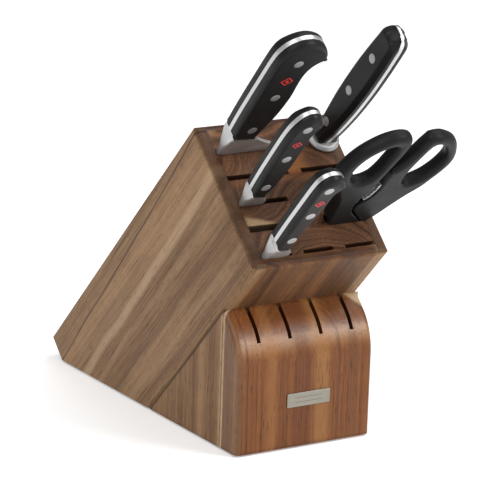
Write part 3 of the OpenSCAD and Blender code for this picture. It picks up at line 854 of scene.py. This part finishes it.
class KNIFEBLOCK_PG_stage(bpy.types.PropertyGroup):
    """The floor, the lights and the camera."""

    floor: colour_setting("Floor", "Colour of the floor", (0.93, 0.93, 0.93))
    key: light_setting("Key light", "Strength of the broad soft light from the front left", 20, 1.75)
    fill: light_setting("Fill light", "Power of the light at the front right", 400, 20.0, "POWER")
    top: light_setting("Top light", "Power of the overhead light", 400, 12.0, "POWER")
    surround: light_setting("Surround", "Brightness of the white surroundings", 3, 0.45)
    lens: bpy.props.FloatProperty(
        name="Lens", description="Focal length of the camera in millimetres",
        min=20, max=400, default=215.6,
    )


# ---------------------------------------------------------------- shared shapes

# Half the thickness of every tang, and the gap between it and a scale
TANG_HALF, TANG_GAP = 1.5, 0.02
# How far above the top face the pieces that stand on it begin
SEATED = 0.3
# The line along the slots where the backs of the blades lie
BLADE_BACK = -42.3


def rounded_corners(points, radius, steps=5):
    """A polygon with every corner rounded off."""
    made = []
    for i, p in enumerate(points):
        p = Vector(p)
        a = (Vector(points[i - 1]) - p).normalized()
        b = (Vector(points[(i + 1) % len(points)]) - p).normalized()
        start, end = p + a * radius, p + b * radius
        for k in range(steps + 1):
            s = k / steps
            made.append(tuple((start * (1 - s) + p * s) * (1 - s) + (p * (1 - s) + end * s) * s))
    return made


def shrunk(points, centre, share):
    return [tuple(c + (v - c) * share for v, c in zip(p, centre)) for p in points]


def mirrored(front, plane, z):
    """A closed section at a height, from the (x, half thickness) points of its front."""
    return [(x, plane - h, z) for x, h in front] + [(x, plane + h, z) for x, h in reversed(front)]


def butt_rounding(look, top, reach, share=1.0):
    """The radius over a handle's edges: larger within a reach of the butt."""
    side, butt = look.handle_round / MM * share, look.butt_round / MM * share
    return lambda x, z: side + (butt - side) * ease(top - reach, top - 1, z)


def add_riveted_handle(name, body, tang_node, outline, scale, plane, half, over, scales, rivets,
                       place=BOX, bulge=2.0):
    """The full tang, the scales on both sides of it and the rivets through them."""
    tang = rounded_solid([outline], plane - TANG_HALF, plane + TANG_HALF, 0.25, 0.25, 3)
    add_piece(name + "_tang", tang, body, MATERIALS["tang"], [tang_node], place)
    for node, way in scales:
        sides = sorted((plane + way * (TANG_HALF + TANG_GAP), plane + way * half))
        rounds = (over, 0.22) if way < 0 else (0.22, over)
        add_piece(node + "_moulded", rounded_solid([scale], *sides, *rounds, bulge=bulge),
                  body, MATERIALS["handle"], [node], place)
    low, high = node_box(name + "_rivets")
    centre = (low + high) / 2
    along = 0 if rivets == "x" else 1
    end, r = (high[along] - low[along]) / 2, (high[1 - along] - low[1 - along]) / 2
    dome = [(0, end + 0.10), (r * 0.75, end + 0.08), (r * 0.96, end + 0.02), (r, end - 0.12)]
    profile = [(radius, -h) for radius, h in dome] + dome[::-1]
    discs = [
        turned(profile, (centre.x, centre.y, z), rivets, 48) for z in (low.z + r, centre.z, high.z - r)
    ]
    add_piece(name + "_rivet_heads", merged(discs), body, MATERIALS["rivet"],
              [name + "_rivets"], sharp=60)


# ---------------------------------------------------------------- operators


class KNIFEBLOCK_OT_effects(bpy.types.Operator):
    """Makes the shader groups and the materials that several pieces share"""

    bl_idname = "knifeblock.effects"
    bl_label = "Shared Effects"

    def execute(self, context):
        make_wood_figure()
        make_edge_wear_and_light()
        make_brush_lines()
        make_handling()
        look = context.scene.knifeblock_cutlery
        for key, (name, share, *settings) in STEELS.items():
            MATERIALS[key] = make_steel(name, tinted(look.steel, share), *settings)
        for key, name, rough, grit, depth, worn, light, shine in (
            ("handle", "Black handle", 0.34, 0.25, 0.00006, 0.5, 0.028, 0.15),
            ("shears", "Shears plastic", 0.38, 0.5, 0.00012, 0.6, 0.025, 0.13),
        ):
            MATERIALS[key] = make_plastic(name, look.plastic, rough, grit, depth, worn, [light] * 3, shine)
        MATERIALS["mark"] = make_enamel("Red mark", look.mark)
        return {"FINISHED"}


class KNIFEBLOCK_OT_box_wood(bpy.types.Operator):
    """Finishes the boards of the leaning box"""

    bl_idname = "knifeblock.box_wood"
    bl_label = "Box Wood"

    def execute(self, context):
        wood = context.scene.knifeblock_wood
        sap = tuple(wood.sapwood)
        side = wood_tones(wood.side, 0.66, 1.28)
        brown = (0.055, 0.024, 0.014)
        make_wood("side_panel_left", LEANING, (95, 20), 9.0, side, 0.5, 0.31, 0.95, 0.9,
                  stripes=[(1, 102, 1.3, (0.060, 0.027, 0.019), 0.90, 4),
                           (1, 112, 1.2, (0.090, 0.045, 0.026), 0.35, 5),
                           (1, 86, 4, (0.150, 0.086, 0.047), 0.35, 6),
                           (1, 72, 6, (0.36, 0.245, 0.150), 0.75, 8),
                           (1, 56, 4, (0.30, 0.190, 0.110), 0.40, 10),
                           (1, 38, 5, (0.105, 0.052, 0.028), 0.55, 9),
                           (1, 20, 4, (0.27, 0.175, 0.100), 0.40, 8),
                           (1, 9, 5, (0.095, 0.047, 0.025), 0.50, 6)],
                  end_tint=(0.30, 0.24, 0.21), streaks=1.6, fan=0.69)
        make_wood("side_panel_right", LEANING, (-110, 70), 8.0, side, 0.6, 1.7, 0.95, 0.95,
                  stripes=[(1, 40, 2, (0.080, 0.036, 0.024), 0.7, 10),
                           (1, 80, 10, (0.34, 0.22, 0.13), 0.4, 16)],
                  end_tint=(0.30, 0.24, 0.21), streaks=1.25)
        front = wood_tones(wood.front, 0.50, 1.55)
        # The front panel's edge tint above 1 is a painted highlight along its edges, meant for the rounded top
        # edge
        make_wood("front_panel", LEANING, (14, 70), 5.0, front, 1.3, 2.9, 0.9, 1.1,
                  stripes=[(0, -18, 6, brown, 0.45, 20), (0, 2, 9, brown, 0.45, 14),
                           (0, 20, 8, brown, 0.5, 20), (0, 44, 6, (0.20, 0.125, 0.068), 0.6, 12)],
                  end_tint=(0.50, 0.42, 0.36), painted_edge_tint=(2.3, 2.3, 2.4))
        rear = wood_tones(wood.front, 0.6, 1.35)
        make_wood("back_panel", LEANING, (-20, -60), 6.0, rear, 1.0, 4.1, 0.9, 1.0,
                  end_tint=(0.45, 0.34, 0.29))
        # Below the top face, the walls of the slots get painted shade
        deep = ((0, 0, -0.8), (0, 0, -1), 0.5, (0.030, 0.012, 0.006), 0.8)
        glow = (0.30, 0.120, 0.030)
        boards = (
            ((6, -16), 3.1, 5.3, 0.95, [], []),
            ((-34, 62), 3.6, 6.7, 0.85, [], [((-30, 33.5, 0), (-0.30, -1, 0), 1.8, sap, 0.85)]),
            ((28, 18), 2.8, 8.2, 0.70, [], [((0, 60, 0), (0, 1, 0), 2, glow, 0.30)]),
            ((8, 40), 4.2, 9.6, 1.0, [(0, 7, 15, glow, 0.80, 10)], []),
            ((-12, 150), 3.4, 11.4, 1.2, [], [((-37, 101, 0), (-0.7, 0.7, 0), 2.5, sap, 0.35)]),
        )
        for number, (pith, gap, seed, level, stripes, patches) in enumerate(boards, 1):
            tones = wood_tones([c * level for c in wood.core], 0.46, 1.75)
            make_wood(f"core_board_{number}", LEANING, pith, gap, tones, 1.5, seed, 0.85, 1.25,
                      stripes, (*patches, deep), (0.62, 0.56, 0.52), 0.15, 0.5)
        return {"FINISHED"}


def kerf_walls():
    """The middle and half width of each kerf of the base, and the depth, square to the
    leaning face, of their nearest point. Its walls are the large faces that look sideways
    between the outer sides."""
    mesh = frame["nodes"]["base_front_board"].data
    walls = [
        (mesh.vertices[i].co - BASE.translation) / MM
        for face in mesh.polygons
        if abs(face.normal.x) > 0.99 and face.area > 20 * MM * MM
        and abs((face.center - BASE.translation).x) < 48 * MM
        for i in face.vertices
    ]
    floor = min(BACK.dot(p) for p in walls)
    edges = sorted({round(p.x, 2) for p in walls})
    return [((a + b) / 2, (b - a) / 2, floor) for a, b in zip(edges[::2], edges[1::2])]


class KNIFEBLOCK_OT_base_wood(bpy.types.Operator):
    """Finishes the base with its curved brow, and the dowels in it"""

    bl_idname = "knifeblock.base_wood"
    bl_label = "Base Wood"

    def execute(self, context):
        wood = context.scene.knifeblock_wood
        sap = tuple(wood.sapwood)
        board = wood_tones(wood.base, 0.60, 1.40)
        make_wood("base_front_board", UPRIGHT, (-4, -7), 3.1, board, 0.75, 13.2, 0.55, 0.9,
                  # The first stripe, pale along the curved brow near the front face, is a painted highlight; the
                  # others are streaks of the wood
                  stripes=[(1, 3.2, 3.2, (0.40, 0.235, 0.125), 0.44, 0),
                           (0, 12, 9, (0.26, 0.122, 0.038), 0.62, 12),
                           (0, -3, 9, (0.095, 0.028, 0.010), 0.60, 12),
                           (0, 25, 2.4, (0.085, 0.032, 0.013), 0.5, 10),
                           (0, -44, 1.2, (0.075, 0.026, 0.011), 0.7, 3),
                           (0, 36, 5, (0.100, 0.042, 0.017), 0.5, 14),
                           (0, -26, 6, (0.25, 0.105, 0.033), 0.5, 12),
                           (0, -50, 3.4, (0.125, 0.066, 0.033), 0.7, 1)],
                  patches=[((49.5, 17.0, 70), (0.7, 0.7, 0.25), 1.6, sap, 0.9),
                           ((-51, 17.7, 60), (-0.35, 1, 0), 0.5, sap, 0.9)],
                  end_tint=(0.95, 0.92, 0.90), shine=0.24, rough=0.25, kerfs=kerf_walls())
        # A painted shadow under the box, as a dark line, which leaves the top corner on the right pale
        box_shadow_edge = (ORIGIN - BASE.translation + BACK * 0.23 * MM) / MM
        peak = node_box("base_rear_wedge", BASE)[1]
        wedge = wood_tones(wood.wedge, 0.66, 1.3)
        make_wood("base_rear_wedge", UPRIGHT, (-90, 160), 7.0, wedge, 1.1, 15.0, 0.6, 0.9,
                  stripes=[(1, 30, 3, (0.110, 0.055, 0.028), 0.5, 8),
                           (1, 44, 5, (0.27, 0.165, 0.090), 0.4, 10),
                           (1, 21.6, 1.4, sap, 0.55, 0.4)],
                  # The first patch is the painted shadow under the box; the second is pale sapwood at the top
                  # corner
                  patches=[(box_shadow_edge, BACK - ACROSS * 0.03, 0.7, (0.030, 0.016, 0.010), 0.85),
                           ((peak.x - 2, 0, peak.z - 8), (0.5, 0, 1), 2, sap, 0.85)],
                  end_tint=(0.7, 0.6, 0.52), streaks=1.3)
        beech = wood_tones((0.56, 0.36, 0.19), 0.8, 1.15)
        make_wood("base_dowels", LEANING, (40, 30), 2.2, beech, 0.6, 17.0, 0.5, 0.6)
        return {"FINISHED"}


def box_outline(left, low, right, high):
    return [(left, low), (right, low), (right, high), (left, high)]


class KNIFEBLOCK_OT_fittings(bpy.types.Operator):
    """Adds the blank nameplate with its pins and the rubber feet"""

    bl_idname = "knifeblock.fittings"
    bl_label = "Nameplate and Feet"

    def execute(self, context):
        low, high = (c / MM - BASE.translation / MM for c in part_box("nameplate"))
        middle = (low + high) / 2
        face = low.y
        brushed = make_steel("Nameplate metal", (0.31, 0.29, 0.245), 0.38, ALONG_X, 2400.0, 0.10, 0.5)
        outline = rounded_corners(box_outline(low.x, low.z, high.x, high.z), 0.7)
        # A fine raised border inside the rim
        border = [
            rounded_corners(box_outline(low.x + d, low.z + d, high.x - d, high.z - d), 0.5)
            for d in (1.1, 1.32)
        ]
        plate = [rounded_solid([outline], face, high.y, 0.28, 0),
                 rounded_solid(border, face - 0.07, face + 0.05, 0.05, 0)]
        add_piece("nameplate_blank", merged(plate), "block", brushed, ["nameplate"], BASE)
        # Two plain lines across the middle
        engraved = make_steel("Engraved lines", (0.17, 0.155, 0.135), 0.5, ALONG_X, 2400.0, 0.05, 0.3)
        lines = [
            rounded_solid([rounded_corners(
                box_outline(middle.x - 10.5, z - 0.16, middle.x + 10.5, z + 0.16), 0.12
            )], face - 0.02, face + 0.05, 0, 0)
            for z in (low.z + 3.1, low.z + 6.1)
        ]
        add_piece("nameplate_lines", merged(lines), "block", engraved, (), BASE)
        pin = [(0, face - 0.22), (0.35, face - 0.2), (0.62, face - 0.12), (0.78, face),
               (0.78, face + 6.9), (0, face + 6.9)]
        pins = [turned(pin, (middle.x + way * 13.4, 0, middle.z), "y", 32) for way in (-1, 1)]
        add_piece("nameplate_round_pins", merged(pins), "block", brushed,
                  ["nameplate_pins"], BASE)
        rubber = make_plastic("Foot rubber", (0.022, 0.022, 0.023), 0.62, 0.35, 0.0001, 0.8,
                              (0.05, 0.05, 0.05), 0.5)
        low, high = (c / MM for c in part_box("feet"))
        foot_r = 6.0
        # Two grooves under each foot
        foot = [(0, 0.35), (1.6, 0.35), (1.9, 0.0), (2.5, 0.0), (2.8, 0.3), (3.4, 0.3), (3.7, 0.0),
                (5.5, 0.0), (5.8, 0.12), (6.0, 0.4), (6.0, 1.3), (5.9, high.z), (0, high.z)]
        feet = [
            turned(foot, (x, y, 0), "z", 64)
            for x in (low.x + foot_r, high.x - foot_r)
            for y in (low.y + foot_r, high.y - foot_r)
        ]
        add_piece("rubber_feet", merged(feet), "block", rubber, ["feet"], Matrix.Identity(4))
        return {"FINISHED"}


def bolster_rings(knife, plane, half):
    """Cross sections of a bolster, from the top face up to the end of its steel corner."""
    start, corner = knife["start"], knife["corner"]
    foot = 2.1
    flare = [
        (SEATED, foot), (0.14 * start, foot + 0.35), (0.38 * start, foot + 0.24 * (half - foot)),
        (0.68 * start, foot + 0.64 * (half - foot)), (start, half), (start + 20, half),
    ]
    spine = [(z, x) for x, z in knife["outline"][:14]]
    heights = [SEATED + (start - SEATED) * k / 22 for k in range(23)]
    stations = [(z, value_on(knife["left"], z), value_on(knife["right"], z)) for z in heights]
    for k in range(9):
        z = start + corner * k / 8
        left = value_on(spine, z)
        arc = corner - math.sqrt(max(0.0, corner**2 - (corner - corner * k / 8) ** 2))
        stations.append((z + 0.001, left, left + max(arc, 0.05)))
    thick, thin = knife["web"]
    rings, count = [], 30
    for z, left, right in stations:
        full = value_on(flare, z)
        web = thick + (thin - thick) * ease(3.0, 6.5, z)
        front = []
        for k in range(count + 1):
            x = left + (right - left) * (1 - math.cos(math.pi * k / count)) / 2
            h = web + (full - web) * (1 - ease(*knife["belly"], x))
            for edge, radius in ((x - left, 2.3), (right - x, 2.0 if z < start else 0.0)):
                radius = min(radius, h * 0.85)
                if radius and edge < radius:
                    h = h - radius * (1 - math.sqrt(max(0.0, 1 - (1 - edge / radius) ** 2)))
            front.append((x, h))
        rings.append(mirrored(front, plane, z))
    return rings


def blade_rings(knife, plane):
    """Cross sections of a ground blade, from the bolster down to the tip."""
    edge = [(-z, x) for x, z in knife["edge"]]
    length = edge[-1][0]
    rings = []
    for k in range(61):
        s = -SEATED + (length + SEATED) * (k / 60)
        width = max(0.6, value_on(edge, s) - BLADE_BACK)
        thick = knife["spine"] * (1 - 0.55 * max(0.0, s) / length)
        share = [(0.0, 0.80), (0.04, 1.0), (0.35, 0.80), (0.75, 0.38), (0.955, 0.16), (1.0, 0.02)]
        front = [(BLADE_BACK + width * a, thick * b) for a, b in share]
        rings.append(mirrored(front, plane, -s))
    return rings


def scale_outline(knife):
    """The handle outline with the rounded lower corner that the bolster fills."""
    start, corner = knife["start"], knife["corner"]
    left = knife["outline"][0][0]
    turns = [math.radians(90 * k / 7) for k in range(8)]
    arc = [
        (left + corner * (1 - math.sin(turn)), start + corner * (1 - math.cos(turn))) for turn in turns
    ]
    return arc + [p for p in knife["outline"] if p[1] > start + corner or p[0] > left + 8]


class KNIFEBLOCK_OT_knives(bpy.types.Operator):
    """Adds the three riveted knives: blade, bolster, tang, scales, rivets and mark"""

    bl_idname = "knifeblock.knives"
    bl_label = "Knives"

    def execute(self, context):
        look = context.scene.knifeblock_cutlery
        for name, knife in KNIVES.items():
            low, high = node_box(name + "_rivets")
            plane, half = (low.y + high.y) / 2, (high.y - low.y) / 2
            body, blade = knife["body"], name + "_blade"
            add_piece(name + "_ground_blade", loft(blade_rings(knife, plane)), body,
                      MATERIALS["blade"], [blade], sharp=50)
            add_piece(name + "_bolster", loft(bolster_rings(knife, plane, half)), body,
                      MATERIALS["bolster"], [blade])
            top = max(z for _, z in knife["outline"])
            scales = ((name + "_scale_front", -1), (name + "_scale_rear", 1))
            add_riveted_handle(name, body, blade, knife["outline"], scale_outline(knife), plane, half,
                               butt_rounding(look, top, knife["butt"]), scales, "y")
            x, z, size = knife["mark"]
            wide, tall = 4.7 * size, 4.2 * size
            lozenge = [(x - wide, z), (x, z - tall), (x + wide, z), (x, z + tall)]
            frames = [rounded_corners(lozenge, 0.5), rounded_corners(shrunk(lozenge, (x, z), 0.76), 0.3)]
            core = [rounded_corners(shrunk(lozenge, (x, z), 0.34), 0.15)]
            face = plane - half
            marks = [rounded_solid(loops, face - 0.05, face + 0.05, 0, 0) for loops in (frames, core)]
            add_piece(name + "_lozenge", merged(marks), body, MATERIALS["mark"])
        return {"FINISHED"}


def rod_rings(x, y, low):
    """Cross sections of the steel's rod, with fine flutes all round and a rounded tip."""
    count, rod_r, neck = 60, 4.3, 0.82
    tip = [(0.25, 0.0), (0.6, 1.2), (0.85, 3.2), (1.0, 6.0)]
    heights = [(share, low + h) for share, h in tip] + [(1.0, z) for z in (-200, -150, -100, -50, -2)]
    rings = []
    for share, z in heights + [(neck, SEATED), (neck, STEEL_START)]:
        ring = []
        for k in range(count * 2):
            turn = math.pi * k / count
            r = rod_r * share * (1 - 0.018 * (k % 2))
            ring.append((x + r * math.cos(turn), y + r * math.sin(turn), z))
        rings.append(ring)
    return rings


class KNIFEBLOCK_OT_steel(bpy.types.Operator):
    """Adds the sharpening steel: fluted rod, guard, tang, scales and rivets"""

    bl_idname = "knifeblock.steel"
    bl_label = "Sharpening Steel"

    def execute(self, context):
        body = "sharpening_steel"
        low, high = node_box("steel_guard")
        x, y = (low.x + high.x) / 2, (low.y + high.y) / 2
        r = (high.x - low.x) / 2
        rod = loft(rod_rings(x, y, node_box("steel_rod")[0].z))
        add_piece("steel_fluted_rod", rod, body, MATERIALS["rod"], ["steel_rod"], sharp=60)
        bore = 3.3
        guard = turned(
            [(bore, SEATED), (r - 0.7, SEATED), (r - 0.15, 0.75), (r, 1.35), (r - 0.12, 1.9),
             (r - 0.6, 2.5), (r - 1.3, 3.2), (r - 1.75, 3.62), (r - 2.3, 3.86),
             (r - 3.0, STEEL_START), (bore, STEEL_START)],
            (x, y, 0), "z", 120)
        add_piece("steel_turned_guard", guard, body, MATERIALS["guard"],
                  ["steel_guard"], sharp=50)
        # Its handle is drawn in the plane across the box, so it is turned a quarter
        quarter = BOX @ Matrix.Translation((x * MM, 0, 0)) @ Matrix.Rotation(math.radians(90), 4, "Z")
        low, high = node_box("steel_rivets")
        top = max(z for _, z in STEEL_OUTLINE)
        over = butt_rounding(context.scene.knifeblock_cutlery, top, 9, 1.25)
        scales = (("steel_scale_left", 1), ("steel_scale_right", -1))
        add_riveted_handle("steel", body, "steel_rod", STEEL_OUTLINE, STEEL_OUTLINE, 0,
                           (high.x - low.x) / 2, over, scales, "x", quarter, 1.25)
        return {"FINISHED"}


# The line of teeth and the rest of the outline of each jaw, and the way its teeth point
JAWS = {
    "left": ([(23.9, 22), (24.6, 28), (27.4, 35), (29.4, 41)],
             [(29.4, 41), (26.4, 42), (22.8, 36), (21.8, 24)], 1),
    "right": ([(29.2, 24.6), (32.4, 30), (33.9, 36), (33.6, 41.5)],
              [(33.6, 41.5), (36.6, 42), (37, 36), (34.4, 26)], -1),
}
# The end of each blade inside its handle
SHANKS = {
    "left": [(16.4, -1), (26.2, -1), (22.6, 18), (19.4, 30), (14.4, 30), (15.8, 14)],
    "right": [(30.4, -1), (40, -1), (43.4, 9), (46.6, 20), (41.6, 24), (35.4, 12)],
}


def toothed(line, rest, way):
    """The outline of a jaw, with five steps of teeth along every stretch of its line."""
    teeth = []
    for a, b in zip(line, line[1:]):
        for k in range(5):
            s = k / 5
            deep = way * (0.2 if k % 2 == 0 else 1.5)
            teeth.append((a[0] * (1 - s) + b[0] * s + deep, a[1] * (1 - s) + b[1] * s))
    return teeth + rest


def ground(way):
    """The radius over the edges of a shears' blade: ground wide along its cutting side."""
    def over(x, z):
        return 0.25 + 1.5 * ease(2, 5, (x - PIVOT[0]) * way) * (1 - ease(-40, -28, z))
    return over


class KNIFEBLOCK_OT_shears(bpy.types.Operator):
    """Adds the kitchen shears: moulded handles, toothed jaws, blades and pivot"""

    bl_idname = "knifeblock.shears"
    bl_label = "Kitchen Shears"

    def execute(self, context):
        low, high = node_box("shears_handle_left")
        plane, half = (low.y + high.y) / 2, (high.y - low.y) / 2
        most = context.scene.knifeblock_cutlery.shears_round / MM

        def over(x, z):
            return most * (0.30 + 0.70 * ease(30, 52, z))

        loops = {"left": [SHEARS_LEFT, SHEARS_LEFT_HOLE], "right": [SHEARS_RIGHT, SHEARS_RIGHT_HOLE]}
        for which, outlines in loops.items():
            add_piece(f"shears_{which}_handle_moulded",
                      rounded_solid(outlines, plane - half, plane + half, over, over, 8),
                      f"shears_{which}_half", MATERIALS["shears"],
                      ["shears_handle_" + which])
        face = -half
        stud = turned([(0, face - 0.9), (0.7, face - 0.8), (1.25, face - 0.45), (1.5, face + 0.2),
                       (1.6, face + 1.5), (0, face + 1.5)], (34.6, plane, 55.8), "y", 40)
        add_piece("shears_round_stud", stud, "shears_right_half", MATERIALS["shears"])
        for which, jaw in JAWS.items():
            low, high = node_box("shears_jaw_" + which)
            add_piece(f"shears_{which}_toothed_jaw",
                      rounded_solid([toothed(*jaw)], low.y, high.y, 0.3, 0.3, 3),
                      f"shears_{which}_half", MATERIALS["jaw"], ["shears_jaw_" + which])
        # The left blade lies in front of the right one, with a little play between them
        thick, play = 2.4, 0.05
        front, rear = plane - play - thick, plane + play + thick
        flipped = [(2 * PIVOT[0] - x, z) for x, z in SHEARS_BLADE]
        for which, outline, sides, rounds in (
            ("left", SHEARS_BLADE, (front, plane - play), (ground(1), 0.12)),
            ("right", flipped, (plane + play, rear), (0.12, ground(-1))),
        ):
            blade = merged([rounded_solid([outline], *sides, *rounds, 4),
                            rounded_solid([SHANKS[which]], *sides, 0.2, 0.2, 2)])
            add_piece(f"shears_{which}_ground_blade", blade, f"shears_{which}_half",
                      MATERIALS["blade"], ["shears_blade_" + which], sharp=50)
        seat = rear + 0.05
        screw = [(0, front - 0.25), (4.6, front - 0.25), (5.0, front - 0.1), (5.0, front),
                 (3.0, front), (3.0, plane + 2.7), (0, plane + 2.7)]
        nut = [(3.0, seat), (5.0, seat), (5.0, seat + 0.15), (4.7, seat + 0.25), (3.0, seat + 0.25)]
        for name, profile, node in (
            ("shears_pivot_screw_head", screw, "shears_pivot_screw"),
            ("shears_pivot_nut_ring", nut, "shears_pivot_nut"),
        ):
            add_piece(name, turned(profile, (PIVOT[0], 0, PIVOT[1]), "y", 72), "shears_left_half",
                      MATERIALS["rivet"], [node])
        return {"FINISHED"}


CAMERA_PLACE = Vector((-0.97503, -1.43052, 0.46693))
CAMERA_AZIMUTH, CAMERA_HEIGHT, CAMERA_ROLL = (math.radians(d) for d in (-32.544, 14.751, 1.924))
LIT_POINT = Vector((0, 0, 0.15))


def camera_axes():
    """The camera's right, up and backward directions."""
    level = math.cos(CAMERA_HEIGHT)
    away = Vector((math.sin(CAMERA_AZIMUTH) * level, -math.cos(CAMERA_AZIMUTH) * level,
                   math.sin(CAMERA_HEIGHT)))
    right = (-away).cross(Vector((0, 0, 1))).normalized()
    up = right.cross(-away)
    c, s = math.cos(CAMERA_ROLL), math.sin(CAMERA_ROLL)
    return right * c + up * s, up * c - right * s, away


class KNIFEBLOCK_OT_stage(bpy.types.Operator):
    """Adds the pale floor, the soft lights and the camera"""

    bl_idname = "knifeblock.stage"
    bl_label = "Studio"

    def execute(self, context):
        scene, look = context.scene, context.scene.knifeblock_stage
        bm = bmesh.new()
        bmesh.ops.create_circle(bm, cap_ends=True, segments=96, radius=9)
        mesh = bpy.data.meshes.new("studio_floor")
        bm.to_mesh(mesh)
        bm.free()
        floor = bpy.data.objects.new("studio_floor", mesh)
        scene.collection.objects.link(floor)
        material, graph, shader, coordinates = new_material("Pale floor")
        tint = graph.blend(graph.noise(coordinates, 3, 3.0, 0.5), look.floor, tinted(look.floor, 0.985))
        graph.feed(shader["Base Color"], tint)
        shader["Roughness"].default_value = 0.8
        shader["Specular IOR Level"].default_value = 0.1
        shader["Emission Color"].default_value = (1, 1, 1, 1)
        shader["Emission Strength"].default_value = 0.22
        mesh.materials.append(material)
        world = bpy.data.worlds.new("Studio surround")
        scene.world = world
        world.use_nodes = True
        background = world.node_tree.nodes["Background"].inputs
        background["Color"].default_value = (1, 1, 1, 1)
        background["Strength"].default_value = look.surround
        for name, kind, energy, place in (
            ("key_light", "SUN", look.key, (-1.45, -1.10, 1.55)),
            ("top_light", "AREA", look.top, (0.62, -0.30, 1.60)),
            ("fill_light", "AREA", look.fill, (1.02, -1.42, 1.05)),
        ):
            lamp = bpy.data.lights.new(name, kind)
            lamp.energy = energy
            obj = bpy.data.objects.new(name, lamp)
            scene.collection.objects.link(obj)
            obj.location = place
            obj.rotation_euler = (LIT_POINT - obj.location).to_track_quat("-Z", "Y").to_euler()
        lights = bpy.data.lights
        lights["key_light"].angle = math.radians(48)
        for name, size in (("top_light", 1.3), ("fill_light", 0.8)):
            lights[name].shape, lights[name].size = "DISK", size
        camera = bpy.data.objects.new("camera", bpy.data.cameras.new("camera"))
        scene.collection.objects.link(camera)
        axes = Matrix(camera_axes()).transposed().to_4x4()
        camera.matrix_world = Matrix.Translation(ORIGIN + CAMERA_PLACE) @ axes
        camera.data.lens = look.lens
        camera.data.clip_start, camera.data.clip_end = 0.05, 30
        scene.camera = camera
        scene.view_settings.view_transform = "Standard"
        return {"FINISHED"}


class KNIFEBLOCK_PT_panel(bpy.types.Panel):
    """Lists the steps that build the knife block."""

    bl_idname = "KNIFEBLOCK_PT_panel"
    bl_label = "Knife Block"
    bl_space_type = "VIEW_3D"
    bl_region_type = "UI"
    bl_category = "Knife Block"

    def draw(self, context):
        for settings in ("knifeblock_wood", "knifeblock_cutlery", "knifeblock_stage"):
            values = getattr(context.scene, settings)
            for key in values.bl_rna.properties.keys():
                if key not in ("rna_type", "name"):
                    self.layout.prop(values, key)
        for step in STEPS:
            self.layout.operator(step.bl_idname)


SETTINGS = {
    "knifeblock_wood": KNIFEBLOCK_PG_wood,
    "knifeblock_cutlery": KNIFEBLOCK_PG_cutlery,
    "knifeblock_stage": KNIFEBLOCK_PG_stage,
}
STEPS = (
    KNIFEBLOCK_OT_stage,
    KNIFEBLOCK_OT_effects,
    KNIFEBLOCK_OT_box_wood,
    KNIFEBLOCK_OT_base_wood,
    KNIFEBLOCK_OT_fittings,
    KNIFEBLOCK_OT_knives,
    KNIFEBLOCK_OT_steel,
    KNIFEBLOCK_OT_shears,
)


def register():
    for name, settings in SETTINGS.items():
        bpy.utils.register_class(settings)
        setattr(bpy.types.Scene, name, bpy.props.PointerProperty(type=settings))
    for step in (*STEPS, KNIFEBLOCK_PT_panel):
        bpy.utils.register_class(step)


def unregister():
    for step in (KNIFEBLOCK_PT_panel, *reversed(STEPS)):
        bpy.utils.unregister_class(step)
    for name, settings in SETTINGS.items():
        delattr(bpy.types.Scene, name)
        bpy.utils.unregister_class(settings)


def main():
    register()
    bpy.ops.knifeblock.stage()
    bpy.ops.knifeblock.effects()
    bpy.ops.knifeblock.box_wood()
    bpy.ops.knifeblock.base_wood()
    bpy.ops.knifeblock.fittings()
    bpy.ops.knifeblock.knives()
    bpy.ops.knifeblock.steel()
    bpy.ops.knifeblock.shears()


if __name__ == "__main__":
    main()
